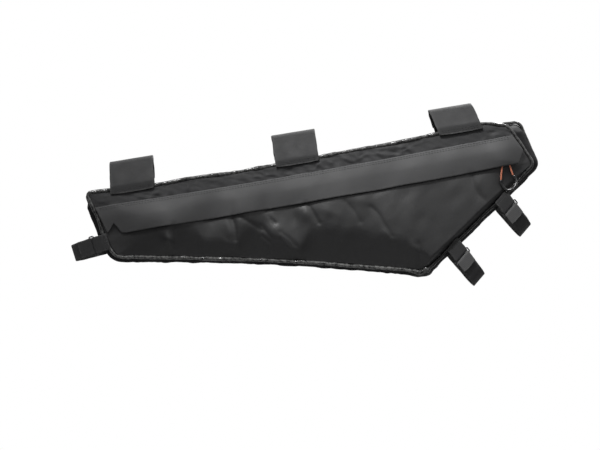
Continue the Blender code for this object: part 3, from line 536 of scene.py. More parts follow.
class Look(Tree):
    """A material that is being put together."""

    def __init__(self, name, rough=0.5, metal=0.0, sheen=0.0, coat=0.0, coat_rough=0.1, level=0.5):
        self.material = bpy.data.materials.new(name)
        self.material.use_nodes = True
        super().__init__(self.material.node_tree)
        self.shader = self.tree.nodes["Principled BSDF"]
        values = {
            "Roughness": rough, "Metallic": metal, "Sheen Weight": sheen, "Sheen Roughness": 0.5,
            "Coat Weight": coat, "Coat Roughness": coat_rough, "Specular IOR Level": level,
        }
        for key, value in values.items():
            self.shader.inputs[key].default_value = value
        place = self.node("ShaderNodeTexCoord")
        self.place, self.map = place.outputs["Object"], place.outputs["UV"]
        self.shade = self.normal = None

    def cloud(self, scale, detail=3.0, rough=0.55):
        """Noise with features about 1 / scale metres wide, from 0 to 1."""
        made = self.node("ShaderNodeTexNoise")
        self.join(self.place, made.inputs["Vector"])
        for key, value in (("Scale", scale), ("Detail", detail), ("Roughness", rough)):
            made.inputs[key].default_value = value
        return made.outputs["Fac"]

    def threads(self, per_metre_u, per_metre_v, ribbed=False):
        """A plain or ribbed weave's height, from 0 to 1."""
        u, v = (
            self.math("SINE", self.math("MULTIPLY", axis, 2 * math.pi * per_metre))
            for axis, per_metre in zip(self.axes(self.map), (per_metre_u, per_metre_v))
        )
        if ribbed:
            return self.spread(self.math("ADD", self.math("MULTIPLY", u, 0.35), v), -1.35, 1.35)
        return self.spread(self.math("MULTIPLY", u, v), -1, 1)

    def colours(self, factor, first, second):
        made = self.node("ShaderNodeMix", data_type="RGBA")
        self.join(factor, made.inputs[0])
        for value, socket in ((first, made.inputs[6]), (second, made.inputs[7])):
            self.join((*value, 1) if isinstance(value, tuple) else value, socket)
        return made.outputs[2]

    def paint(self, colour):
        self.shade = colour
        self.join(colour, self.shader.inputs["Base Color"])

    def tone(self, scale, detail, first, second):
        """Two colours in soft patches."""
        self.paint(self.colours(self.cloud(scale, detail), first, second))

    def over(self, factor, colour):
        """Another colour over what is painted so far."""
        self.paint(self.colours(factor, self.shade, colour))

    def paint_wear_and_sheen(self, light, amount=0.5):
        """Lighter where the piece's own wear-and-sheen values are high: worn edges on most pieces, painted
        highlights and reflections along the piping.
        """
        wear_and_sheen = self.node("ShaderNodeAttribute", attribute_name="wear_and_sheen").outputs["Fac"]
        patchy = self.spread(self.cloud(260, 3), 0.35, 0.65)
        self.over(self.math("MULTIPLY", self.math("MULTIPLY", wear_and_sheen, patchy), amount), light)

    def gloss(self, scale, detail, low, high):
        """Roughness in soft patches."""
        rough = self.spread(self.cloud(scale, detail), 0.3, 0.7, low, high)
        self.join(rough, self.shader.inputs["Roughness"])

    def bump(self, height, depth, strength):
        made = self.node("ShaderNodeBump")
        made.inputs["Distance"].default_value = depth
        made.inputs["Strength"].default_value = strength
        self.join(height, made.inputs["Height"])
        if self.normal:
            self.join(self.normal, made.inputs["Normal"])
        self.normal = made.outputs["Normal"]
        self.join(self.normal, self.shader.inputs["Normal"])


def coated_cloth():
    look = Look("coated_cloth", rough=0.4, level=0.85)
    look.tone(24, 4, grey(0.0145, 0.0150), grey(0.0225, 0.0235))
    look.paint_wear_and_sheen(grey(0.06, 0.062))
    look.gloss(42, 4, 0.40, 0.50)
    look.bump(look.cloud(60, 3, 0.5), 0.0006, 0.35)
    look.bump(look.threads(1600, 1600), 0.00004, 0.5)
    return look.material


def woven_cloth():
    look = Look("woven_cloth", rough=0.7, sheen=0.15, level=0.45)
    weave = look.threads(620, 620)
    look.tone(30, 4, grey(0.024, 0.025), grey(0.041, 0.043))
    look.over(weave, grey(0.050, 0.052))
    look.paint_wear_and_sheen(grey(0.09))
    look.gloss(60, 3, 0.60, 0.76)
    look.bump(look.cloud(150), 0.0003, 0.5)
    look.bump(weave, 0.00012, 0.7)
    return look.material


def gusset_cloth():
    look = Look("gusset_cloth", rough=0.7, level=0.03)
    weave = look.threads(700, 700)
    look.tone(30, 4, grey(0.012, 0.013), grey(0.022, 0.023))
    look.over(look.spread(weave, 0, 1, 0, 0.4), grey(0.03, 0.032))
    look.paint_wear_and_sheen(grey(0.05))
    look.gloss(60, 3, 0.56, 0.72)
    look.bump(look.cloud(150, 4, 0.6), 0.0006, 0.6)
    look.bump(weave, 0.00008, 0.6)
    return look.material


def glossy_cloth():
    look = Look("piping", rough=0.2, coat=0.4, coat_rough=0.12, level=0.6)
    look.tone(60, 3, grey(0.006, 0.007), grey(0.014, 0.015))
    # Painted highlights and reflections: pale flecks along the piping, where its per-run values are high
    look.paint_wear_and_sheen(grey(0.21, 0.205), 1.0)
    look.gloss(180, 3, 0.10, 0.26)
    look.bump(look.cloud(330, 3, 0.6), 0.0006, 0.5)
    return look.material


def rubberised_cloth():
    look = Look("rubberised_cloth", rough=0.6, level=0.5)
    look.tone(18, 4, grey(0.066, 0.067), grey(0.082, 0.084))
    look.paint_wear_and_sheen(grey(0.13, 0.132))
    look.gloss(40, 4, 0.54, 0.66)
    look.bump(look.cloud(2600, 2, 0.6), 0.00005, 0.6)
    look.bump(look.cloud(70), 0.0004, 0.35)
    return look.material


# A strap's rough side is this far off in its map, and there the webbing is lighter
ROUGH_SHIFT = 0.2


def webbing():
    look = Look("webbing", rough=0.75, sheen=0.12, level=0.4)
    ribs = look.threads(900, 640, ribbed=True)
    look.tone(34, 4, grey(0.030, 0.031), grey(0.042, 0.043))
    look.over(look.spread(ribs, 0, 1, 0, 0.5), grey(0.066, 0.067))
    rough_side = look.spread(look.axes(look.map)[1], ROUGH_SHIFT / 2 - 0.002, ROUGH_SHIFT / 2 + 0.002)
    look.over(rough_side, look.colours(ribs, grey(0.080, 0.081), grey(0.140, 0.141)))
    look.paint_wear_and_sheen(grey(0.15), 0.8)
    look.gloss(80, 3, 0.68, 0.82)
    look.bump(look.cloud(300), 0.0002, 0.5)
    look.bump(ribs, 0.00014, 0.7)
    return look.material


def strap_cloth():
    """The wide straps' softer, closer cloth."""
    look = Look("strap_cloth", rough=0.7, sheen=0.10, level=0.42)
    pile = look.cloud(1500, 2, 0.7)
    look.tone(26, 4, grey(0.037, 0.038), grey(0.050, 0.051))
    look.over(look.spread(pile, 0.4, 0.7, 0, 0.5), grey(0.062, 0.063))
    look.paint_wear_and_sheen(grey(0.15), 0.8)
    look.gloss(80, 3, 0.62, 0.78)
    look.bump(look.cloud(90), 0.0005, 0.35)
    look.bump(pile, 0.00010, 0.6)
    return look.material


def orange_cord(braid_turns=6.0, braid_run=5200):
    """A round braid: two sets of threads that cross."""
    look = Look("orange_cord", rough=0.55, sheen=0.3, level=0.4)
    along, around, _ = look.axes(look.map)
    twist = look.math("MULTIPLY", look.math("MULTIPLY", around, braid_turns), 2 * math.pi)
    run = look.math("MULTIPLY", along, braid_run)
    left, right = (look.math("SINE", look.math(way, run, twist)) for way in ("ADD", "SUBTRACT"))
    braid = look.spread(look.math("MAXIMUM", left, right), -1, 1)
    # Painted shade and highlight: the grooves between the threads are painted a deeper orange, and the
    # threads' crests a pale, near-white orange
    look.paint(look.colours(braid, (0.62, 0.12, 0.050), (1.0, 0.36, 0.21)))
    look.over(look.spread(look.cloud(700, 2), 0.45, 0.75, 0, 0.4), (1.0, 0.32, 0.12))
    look.gloss(500, 2, 0.48, 0.66)
    look.bump(braid, 0.00022, 0.9)
    return look.material


def wire():
    look = Look("wire", rough=0.28, metal=1.0)
    look.tone(300, 3, grey(0.10, 0.105), grey(0.20, 0.205))
    look.gloss(500, 3, 0.2, 0.36)
    look.bump(look.cloud(900, 2), 0.00003, 0.5)
    return look.material


def moulded():
    look = Look("moulded_end", rough=0.3, coat=0.6, coat_rough=0.10, level=0.9)
    look.tone(200, 3, grey(0.016, 0.017), grey(0.030, 0.032))
    look.gloss(700, 3, 0.22, 0.38)
    look.bump(look.cloud(900), 0.00005, 0.5)
    return look.material


def coil_nylon():
    look = Look("zip", rough=0.4)
    look.tone(200, 3, grey(0.010, 0.011), grey(0.022, 0.023))
    look.gloss(300, 3, 0.32, 0.48)
    look.bump(look.threads(1300, 1300), 0.00005, 0.6)
    return look.material


def thread():
    look = Look("thread", rough=0.5, sheen=0.2)
    look.tone(900, 2, grey(0.020, 0.021), grey(0.050, 0.052))
    look.gloss(900, 2, 0.42, 0.6)
    look.bump(look.cloud(3000, 2), 0.00006, 0.8)
    return look.material


COATED, WOVEN, GUSSET, PIPING = coated_cloth(), woven_cloth(), gusset_cloth(), glossy_cloth()
RUBBERISED, WEBBING, STRAP, WIRE = rubberised_cloth(), webbing(), strap_cloth(), wire()
ORANGE, MOULDED, COIL, THREAD = orange_cord(), moulded(), coil_nylon(), thread()


# Meshes

def piece(name, points, faces, material, nodes, uv, wear_and_sheen=None):
    """A shown piece that rides on the part and stands for the named solids."""
    mesh = bpy.data.meshes.new(name)
    mesh.from_pydata(np.asarray(points, float).tolist(), [], faces)
    layer = mesh.uv_layers.new(name="UVMap")
    index = np.empty(len(mesh.loops), np.int32)
    mesh.loops.foreach_get("vertex_index", index)
    layer.data.foreach_set("uv", np.asarray(uv, np.float32)[index].ravel())
    if wear_and_sheen is not None:
        attribute = mesh.attributes.new("wear_and_sheen", "FLOAT", "POINT")
        attribute.data.foreach_set("value", np.asarray(wear_and_sheen, np.float32))
    mesh.materials.append(material)
    mesh.shade_smooth()
    obj = bpy.data.objects.new(name, mesh)
    bpy.context.scene.collection.objects.link(obj)
    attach(obj, "root")
    if nodes:
        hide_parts(*nodes)
    return obj


def facing_out(points, faces):
    """The faces, turned over if they enclose a negative volume."""
    quads = np.array([f for f in faces if len(f) == 4])
    a, b, c, d = (np.asarray(points, float)[quads[:, k]] for k in range(4))
    volume = np.einsum("ij,ij->i", a, np.cross(b, c)).sum() + np.einsum("ij,ij->i", a, np.cross(c, d)).sum()
    return [f[::-1] for f in faces] if volume < 0 else faces


def tube_faces(n, sides, closed):
    """The faces between n rings; a closed tube joins its last ring to its first."""
    i, k = np.meshgrid(np.arange(n if closed else n - 1), np.arange(sides), indexing="ij")
    j, l = (i + 1) % n, (k + 1) % sides
    quads = [i * sides + k, i * sides + l, j * sides + l, j * sides + k]
    return np.stack(quads, -1).reshape(-1, 4).tolist()


def swept(line, one, two, radius, sides, closed, turn=0.5):
    """Points, faces and map of a tube along a line. radius is one number, or one for each point round it."""
    n = len(line)
    angle = ((np.arange(sides) + turn) * 2 * math.pi / sides)[None, :, None]
    radius = np.broadcast_to(radius, (n, sides))[..., None]
    points = line[:, None] + radius * (np.cos(angle) * one[:, None] + np.sin(angle) * two[:, None])
    points = points.reshape(-1, 3)
    faces = tube_faces(n, sides, closed)
    if not closed:
        faces.append(list(range(sides))[::-1])
        faces.append([(n - 1) * sides + k for k in range(sides)])
    uv = np.stack(np.broadcast_arrays(lengths(line)[:, None], angle[..., 0] / (2 * math.pi)), -1)
    return points, facing_out(points, faces), uv.reshape(-1, 2)


def joined(tubes):
    """The points and faces of several tubes as one mesh."""
    points, faces = [], []
    for tube_points, tube_sides, _ in tubes:
        first = len(points)
        points += list(tube_points)
        faces += [[first + k for k in face] for face in tube_sides]
    return np.array(points), faces


def sheet_solid(outer, inner, closed=False, edge=0.35):
    """Points and faces of the cloth between two grids, with a rounded edge, and the grid point that each
    point belongs to. A closed cloth joins its last row to its first."""
    n, m = outer.shape[:2]
    half = n * m
    grid = np.arange(half).reshape(n, m)
    i, j = np.meshgrid(np.arange(n if closed else n - 1), np.arange(m - 1), indexing="ij")
    here, there = i * m + j, (i + 1) % n * m + j
    quads = np.stack([here, there, there + 1, here + 1], -1).reshape(-1, 4)
    faces = [quads, quads[:, ::-1] + half]
    if closed:
        rims = [grid[:, 0], grid[::-1, -1]]
    else:
        rims = [np.concatenate([grid[:, 0], grid[-1, 1:], grid[-2::-1, -1], grid[0, -2:0:-1]])]
    flat_out, flat_in = outer.reshape(-1, 3), inner.reshape(-1, 3)
    count = 2 * half
    extra = []
    for around in rims:
        row, column = around // m, around % m
        row_in = row if closed else np.clip(row, 1, n - 2)
        away = unit(flat_out[around] - flat_out[row_in * m + np.clip(column, 1, m - 2)])
        reach = np.linalg.norm(flat_out[around] - flat_in[around], axis=1, keepdims=True) * edge
        extra.append((flat_out[around] + flat_in[around]) / 2 + away * reach)
        rim = np.arange(len(around)) + count
        following, rim_following = np.roll(around, -1), np.roll(rim, -1)
        faces.append(np.stack([following, around, rim, rim_following], 1))
        faces.append(np.stack([rim_following, rim, around + half, following + half], 1))
        count += len(around)
    points = np.vstack([flat_out, flat_in, *extra])
    index = np.concatenate([np.arange(half), np.arange(half), *rims])
    return points, facing_out(points, np.vstack(faces).tolist()), index


def cloth(name, flat, outer, inner, material, nodes, closed=False, wear_edge=0.004):
    """A cloth piece from two grids; flat gives the pattern's own coordinates."""
    points, faces, index = sheet_solid(outer, inner, closed)
    n, m = outer.shape[:2]
    rows, columns = index // m, index % m
    step = np.linalg.norm(outer[:, 1] - outer[:, 0], axis=-1).mean()
    away = np.minimum(columns, m - 1 - columns) * step
    if not closed:
        step = np.linalg.norm(outer[1] - outer[0], axis=-1).mean()
        away = np.minimum(away, np.minimum(rows, n - 1 - rows) * step)
    uv = flat.reshape(-1, 2)[index]
    return piece(name, points, faces, material, nodes, uv, np.exp(-away / wear_edge))


def raised(grid, y):
    """A grid of flat places put at the heights y."""
    return world(grid[..., 0], grid[..., 1], y)


def side_cloth(name, grid, outer_y, inner_y, material, node, wear_edge=0.004):
    """A cloth of one side of the bag, from its flat grid and the heights of its two faces."""
    outer, inner = raised(grid, outer_y), raised(grid, inner_y)
    return cloth(name, grid, outer, inner, material, [node], wear_edge=wear_edge)


def coons(top, bottom, rear, front):
    """A grid of flat places between four lines; top and bottom run to the front, rear and front run down."""
    u, v = np.linspace(0, 1, len(top))[:, None, None], np.linspace(0, 1, len(rear))[None, :, None]
    across = top[:, None, :] * (1 - v) + bottom[:, None, :] * v
    down = rear[None, :, :] * (1 - u) + front[None, :, :] * u
    upper = top[0] * (1 - u) * (1 - v) + top[-1] * u * (1 - v)
    return across + down - (upper + bottom[0] * (1 - u) * v + bottom[-1] * u * v)


# The side cloths

PANEL_STEPS, PANEL_DEEP = 300, 84
BAND_STEPS, BAND_DEEP = 420, 26
FAR_STEPS, FAR_DEEP = 270, 90
TAPE_STEPS, TAPE_ROWS = 240, 13
rear_down, front_down = near_lines["rear"][::-1], near_lines["front"]


def crossing(line, offset):
    """The length along an end line at which it crosses the line beside the zip."""
    over = line[:, 1] - zip_down(line[:, 0])
    return float(np.interp(offset, over, lengths(line)))


def zip_edge(offset, n):
    """A line beside the zip, from the rear edge of the side to its front edge."""
    a0, a1 = (at_length(line, crossing(line, offset))[0] for line in (rear_down, front_down))
    along = np.linspace(a0, a1, n + 1)
    return np.stack([along, zip_down(along) + offset], axis=1)


def cut(line, s0, s1, n):
    return at_length(line, np.linspace(s0, s1, n + 1))


def lower_line(lines):
    """The side's lower edge, from the rear to the front."""
    return np.vstack([lines["down_tube"][:-1], lines["bottom"]])[::-1]


beside = ZIP_WIDTH / 2 + GAP / 2
panel = coons(
    zip_edge(beside, PANEL_STEPS),
    even(lower_line(near_lines), PANEL_STEPS),
    *(cut(line, crossing(line, beside), lengths(line)[-1], PANEL_DEEP) for line in (rear_down, front_down)),
)
panel_y = near_y(panel)
side_cloth("near_cloth", panel, panel_y, panel_y + WALL, COATED, "near_panel")

band = coons(
    even(near_lines["top"], BAND_STEPS),
    zip_edge(-beside, BAND_STEPS),
    *(cut(line, 0, crossing(line, -beside), BAND_DEEP) for line in (rear_down, front_down)),
)


def band_pucker(share_down):
    """How far the band is drawn in between its two seams."""
    across, deep = band[..., 0], band[..., 1]
    warp = 0.006 * noise(across / 0.017, deep / 0.013, 34)
    pucker = folded((across + warp) / 0.013, (deep + warp) / 0.0075, 31) - 0.5
    pucker += 0.6 * noise((across - deep) / 0.0070, (deep + warp) / 0.0050, 32)
    pucker *= 0.30 + 0.70 * np.clip(wave(across / 0.04, 33) + 0.5, 0, 1)
    pucker *= 1 - 0.75 * hump((across - 0.200) / 0.024)
    return pucker * (np.sin(np.pi * np.clip(share_down * 1.15, 0, 1)) ** 0.7 * (1 - 0.5 * share_down))


band_y = near_y(band) - 0.0024 * band_pucker(np.linspace(0, 1, BAND_DEEP + 1)[None, :])
side_cloth("top_cloth", band, band_y, band_y + WALL, WOVEN, "top_band")

far = coons(
    even(far_lines["top"], FAR_STEPS),
    even(lower_line(far_lines), FAR_STEPS),
    even(far_lines["rear"][::-1], FAR_DEEP),
    even(far_lines["front"], FAR_DEEP),
)
far_y = HALF + far_relief(far)
side_cloth("far_cloth", far, far_y, far_y - WALL, COATED, "far_panel")

# The zip: a tape with two rows of coil that meet on its middle line

tape_shares = np.linspace(-1, 1, TAPE_ROWS)
tape = np.stack([zip_edge(r * (ZIP_WIDTH / 2 - GAP / 2), TAPE_STEPS) for r in tape_shares], axis=1)
tape_y = near_y(tape)
side_cloth("zip_cloth", tape, tape_y, tape_y + WALL, COIL, "zip_tape")

COIL_PITCH = 0.0014
COIL_WIRE_RADIUS = 0.0003
COIL_INSET = 0.004
COIL_SIDES = 5
STEPS_A_TURN = 10


def zip_coil():
    """Two wires wound along the zip, half a turn apart."""
    middle = zip_edge(0.0, 700)
    run = lengths(middle)
    turns = int((run[-1] - 2 * COIL_INSET) / COIL_PITCH)
    s = np.linspace(COIL_INSET, run[-1] - COIL_INSET, turns * STEPS_A_TURN + 1)
    at = at_length(middle, s)
    base = np.interp(s, run, near_y(middle))
    wires = []
    for side, ahead in ((-1, 0), (1, math.pi)):
        phase = s / COIL_PITCH * 2 * math.pi + ahead
        down = at[:, 1] + side * (0.00075 - 0.00095 * np.cos(phase))
        line = world(at[:, 0], down, base - COIL_HEIGHT * 0.5 - 0.00028 * np.sin(phase))
        tangent = unit(np.gradient(line, axis=0))
        one = unit(np.cross(tangent, [0.0, 1.0, 0.0]))
        wires.append(swept(line, one, np.cross(tangent, one), COIL_WIRE_RADIUS, COIL_SIDES, False, 0.0))
    points, faces = joined(wires)
    piece("zip_coil", points, faces, COIL, [], points[:, [0, 2]])


zip_coil()

# The flap over the zip

slider_along = SLIDER_AT * BAG_LENGTH - REAR_REACH
slider_down = float(zip_down(slider_along))
BRIDGE_TOP = COIL_HEIGHT + GAP + SLIDER_PLATE + 2 * PULL_CORD_RADIUS + 2 * GAP + BRIDGE_WALL
BRIDGE_RISE = BRIDGE_TOP + GAP - FLAP_LIFT + FLAP_WALL


def flap_lift(points):
    """How far the flap stands off the cloth: sewn at its top edge, raised over the zip and the slider."""
    along, down = points[..., 0], points[..., 1]
    t = np.clip((down - zip_down(along) + FLAP_ABOVE) / FLAP_ABOVE, 0, 1)
    lower = np.clip((down - zip_down(along)) / FLAP_BELOW, 0, 1)
    over_slider = hump((along - slider_along) / (3 * SLIDER_LENGTH))
    over_slider = over_slider * hump((down - slider_down) / FLAP_ABOVE)
    lift = GAP + (FLAP_LIFT - GAP) * np.sin(t * math.pi / 2) + BRIDGE_RISE * over_slider
    ripple = noise(along / 0.045, down * 0 + 0.5, 41) + 0.5 * noise(along / 0.021, down / 0.05, 42)
    calm = 1 - 0.8 * over_slider
    return lift + calm * (0.0006 * t * (ripple + 0.9) - 0.0011 * lower**2)


# The notch's edge, in shares of its width and depth, and the round of the flap's front lower corner
NOTCH = [(0.0, 0.20), (0.25, 0.62), (0.46, 1.0), (0.53, 1.0), (0.74, 0.50), (0.93, 0.10), (1.25, 0.0)]
FLAP_ROUND_LONG = 0.004
FLAP_ROUND_HIGH = 0.0028
FLAP_STEPS, FLAP_DEEP = 340, 24

notch_from = NOTCH_AT * BAG_LENGTH - REAR_REACH
end_along = FLAP_END * BAG_LENGTH - REAR_REACH
notch = through(NOTCH, 8)
round_share = np.linspace(0, 1, 9)[1:]
low_along = np.concatenate([
    notch_from + NOTCH_WIDTH * notch[:, 0],
    np.linspace(notch_from + NOTCH_WIDTH * NOTCH[-1][0], end_along - FLAP_ROUND_LONG, FLAP_STEPS)[1:],
    end_along - FLAP_ROUND_LONG + FLAP_ROUND_LONG * round_share,
])
low_rise = np.zeros(len(low_along))
low_rise[: len(notch)] = NOTCH_DEPTH * notch[:, 1]
low_rise[-len(round_share) :] = FLAP_ROUND_HIGH * round_share**2
columns = len(low_along) - 1
low_wave = 0.0004 * wave(low_along / 0.03, 43)
flap_low = np.stack([low_along, zip_down(low_along) + FLAP_BELOW - low_rise + low_wave], axis=1)
flap_top = zip_edge(-FLAP_ABOVE, columns)
flap_top[:, 0] += np.linspace(0.0005, -0.0005, columns + 1)
flap_top[:, 1] += 0.00025 * wave(flap_top[:, 0] / 0.02, 44)
front_low = at_length(front_down, crossing(front_down, 0.004))
rear_cut = even(np.array([flap_top[0], flap_low[0]]), FLAP_DEEP)
front_cut = even(np.array([flap_top[-1], [front_low[0] - 0.0005, front_low[1]], flap_low[-1]]), FLAP_DEEP)
flap = coons(flap_top, flap_low, rear_cut, front_cut)
flap_y = near_y(flap) - flap_lift(flap)
flap_piece = side_cloth(
    "flap_cloth", flap, flap_y - FLAP_WALL, flap_y, RUBBERISED, "storm_flap",
    wear_edge=0.0015,
)


# The strip between the sides

SOLID_STEPS = {"top": 30, "front": 5, "down_tube": 12, "bottom": 18, "rear": 6}
# The first place on each line takes this share of the bulge on both sides of it
START_SHARE = {"top": 0.0, "front": 0.0, "down_tube": 0.5, "bottom": 0.5, "rear": 0.5}


def strip_bulge():
    """The strip's bulge at the solids' own places, then at the finer places here."""
    values, starts = [], {}
    for key, n in SOLID_STEPS.items():
        starts[key] = len(values)
        if key != "top":
            values += [BULGE[key] * GUSSET_BULGE] * n
            continue
        near, far_side = even(near_lines[key], n), even(far_lines[key], n)
        run = lengths(near)
        ease = from_ends(run, run[-1], HOLLOW_EASE)
        ease = ease * ease * (3 - 2 * ease)
        hollow = np.maximum(0.0, TOP_TUBE_RADIUS + TUBE_CLEARANCE - (near[:, 1] + far_side[:, 1]) / 2)
        values += list((-(hollow + TUBE_CLEARANCE) * ease)[:n])
    for key, share in START_SHARE.items():
        i = starts[key]
        values[i] = share * (values[i - 1] + values[(i + 1) % len(values)])
    closed = [*values, values[0]]
    places = [starts[key] + np.arange(n) / n * SOLID_STEPS[key] for key, n in STEPS.items()]
    return np.interp(np.concatenate(places), np.arange(len(closed)), closed)


def strip():
    """The five lengths between the sides as one closed cloth."""
    t = np.linspace(-1, 1, 25)[None, :]
    share = ((t + 1) / 2)[..., None]
    place = near_loop[:, None] * (1 - share) + far_loop[:, None] * share
    out = unit(outward(near_loop)[:, None] * (1 - share) + outward(far_loop)[:, None] * share)
    run = loop_lengths(near_loop)
    s, wide = run[:-1, None], t * (HALF - WALL - GAP)
    low = smoothed(np.concatenate([np.full(n, float(key == "bottom")) for key, n in STEPS.items()]))[:, None]
    ripple = noise(s / 0.011, wide / 0.020, 51) + 0.6 * noise(s / 0.0055, wide / 0.012, 52)
    ripple = ripple * (0.00035 + 0.00055 * low) * from_ends(s, run[-1], 0.02)
    height = (strip_bulge()[:, None] + ripple) * (1 - t**2)
    s, wide = np.broadcast_arrays(s, wide)
    outer, inner = (raised(place + out * (height - depth)[..., None], wide) for depth in (0.0, WALL))
    nodes = [key + "_gusset" for key in STEPS]
    cloth("gusset_cloth", np.stack([s, wide], -1), outer, inner, GUSSET, nodes, closed=True)


strip()


# The glossy piped edges

PIPING_RADIUS = 0.002
PIPING_SIDES = 14
PIPING_STEPS = {"top": 360, "front": 50, "down_tube": 120, "bottom": 240, "rear": 70}
# How much lighter each run of piping is painted: painted highlights and reflections of the white
# surroundings, strongest along the bottom
PIPING_SHEEN = {"top": 0.75, "front": 0.4, "down_tube": 0.1, "bottom": 1.0, "rear": 0.75}


def loop_frames(line, two):
    """Two directions across a closed line, the second of them given."""
    tangent = unit(np.roll(line, -1, axis=0) - np.roll(line, 1, axis=0))
    two = np.tile(two, (len(line), 1))
    return unit(np.cross(tangent, two)), two


def binding(name, lines, sign, node, seed):
    """The piped edge of one side: a tube of glossy cloth that puckers all the way round."""
    flat = loop_of(lines, PIPING_STEPS)
    run = loop_lengths(flat)
    s = run[:-1]
    join = from_ends(s, run[-1], 0.01)
    heel = lines["down_tube"][-1]
    near_heel = hump(np.hypot(*(flat - heel).T) / 0.011)
    lower = hump((flat[:, 0] - heel[0] + 0.04) / 0.055) * (flat[:, 1] > 0.13)
    wander = 0.00035 * wave(s / 0.020, seed) + 0.00030 * wave(s / 0.007, seed + 1)
    off = PIPING_RADIUS + 0.6 * wander * join * (1 + 2.5 * near_heel) + 0.0008 * near_heel
    flat = flat + outward(flat) * off[:, None]
    line = raised(flat, sign * (HALF - WALL / 2) + 0.00045 * wave(s / 0.012, seed + 2) * join)
    one, two = loop_frames(line, [0.0, 1.0, 0.0])
    angle = (np.arange(PIPING_SIDES) / PIPING_SIDES * 4)[None, :]
    s, join, near_heel, lower = (values[:, None] for values in (s, join, near_heel, lower))
    crumple = folded(s / 0.0070 + angle / 4, angle, seed + 3) - 0.6
    crumple += 0.8 * noise(s / 0.0045, angle * 0.5, seed + 4) * folded(s / 0.03, s * 0, seed + 6)
    size = 1 + 0.16 * wave(s / 0.016, seed + 5) * join + 0.35 * near_heel
    strength = 0.18 + 0.50 * near_heel + 0.04 * lower
    radius = PIPING_RADIUS * size * (1 + strength * crumple * join)
    points, faces, uv = swept(line, one, two, radius, PIPING_SIDES, True)
    # Painted highlights and reflections: each run of the piping is painted lighter by its share above
    wear_and_sheen = smoothed(np.concatenate([np.full(n, PIPING_SHEEN[key]) for key, n in PIPING_STEPS.items()]))
    piece(name, points, faces, PIPING, [node], uv, np.repeat(wear_and_sheen, PIPING_SIDES))


binding("near_piping", near_lines, -1, "near_binding", 61)
binding("far_piping", far_lines, 1, "far_binding", 71)


# Straps: each is a flat path round a tube, drawn out to the strap's width

WIDE_STEP, ANCHOR_STEP, NARROW_STEP = 0.0012, 0.0006, 0.0007
WIDE_ACROSS, NARROW_ACROSS = 34, 16
ROUND_STEPS = 5
RING_BEND = 0.0014
KNEE_ROOM_WIDE, KNEE_ROOM_NARROW = 0.001, 0.0008
STITCH_LONG, STITCH_SPACE, STITCH_RADIUS = 0.0024, 0.0010, 0.00028
# A stitch from end to end: its places, how far it lifts and how thick it is
STITCH_PLACES = np.array([0.0, 0.22, 0.5, 0.78, 1.0])
STITCH_LIFT = np.array([-0.5, 0.35, 0.6, 0.35, -0.5])
STITCH_SIZE = np.array([0.45, 0.95, 1.0, 0.95, 0.45])

tab_radius = TOP_TUBE_RADIUS + STRAP_TUBE_GAP + TAB_THICKNESS / 2
wide_radius = tab_radius + TAB_THICKNESS / 2 + GAP + WIDE_STRAP_THICKNESS / 2
binding_out = HALF - WALL / 2 + BINDING_RADIUS
binding_tall = BINDING_GAP + 2 * BINDING_RADIUS
strap_rows = []


def arc(centre, radius, from_angle, to_angle, n):
    t = np.linspace(from_angle, to_angle, n + 1)
    return np.stack([centre[0] + radius * np.cos(t), centre[1] + radius * np.sin(t)], axis=1)


def tangent_angle(point, centre, radius, turn):
    """The angle on a circle where a line from the point touches it, on the side that turn says."""
    v = np.asarray(point, float) - centre
    return math.atan2(v[1], v[0]) + turn * math.acos(min(1.0, radius / np.linalg.norm(v)))


def eased(path, radius=0.0012):
    """A path with its corners rounded."""
    path = np.array(path, float)
    out = [path[0]]
    for before, here, after in zip(path, path[1:], path[2:]):
        a, b = here - before, after - here
        la, lb = np.linalg.norm(a), np.linalg.norm(b)
        turn = abs(math.atan2(a[0] * b[1] - a[1] * b[0], a @ b))
        reach = min(radius, la * 0.45, lb * 0.45)
        if turn < 0.05 or reach < 1e-5:
            out.append(here)
        else:
            out += list(bend(here - a / la * reach, here, here + b / lb * reach, 5))
    out.append(path[-1])
    return np.array(out)


def end_faces(first, across, sides):
    """Faces over one end of a strap: a strip from one flat side to the other, and a face at each edge."""
    top = first + np.arange(across)
    low = (first + across + ROUND_STEPS + np.arange(across))[::-1]
    edge = np.arange(ROUND_STEPS + 2)
    right = first + across - 1 + edge
    left = first + (2 * across + ROUND_STEPS - 1 + edge) % sides
    quads = np.stack([top[:-1], top[1:], low[1:], low[:-1]], 1).tolist()
    return [*quads, right[::-1].tolist(), left[::-1].tolist()]


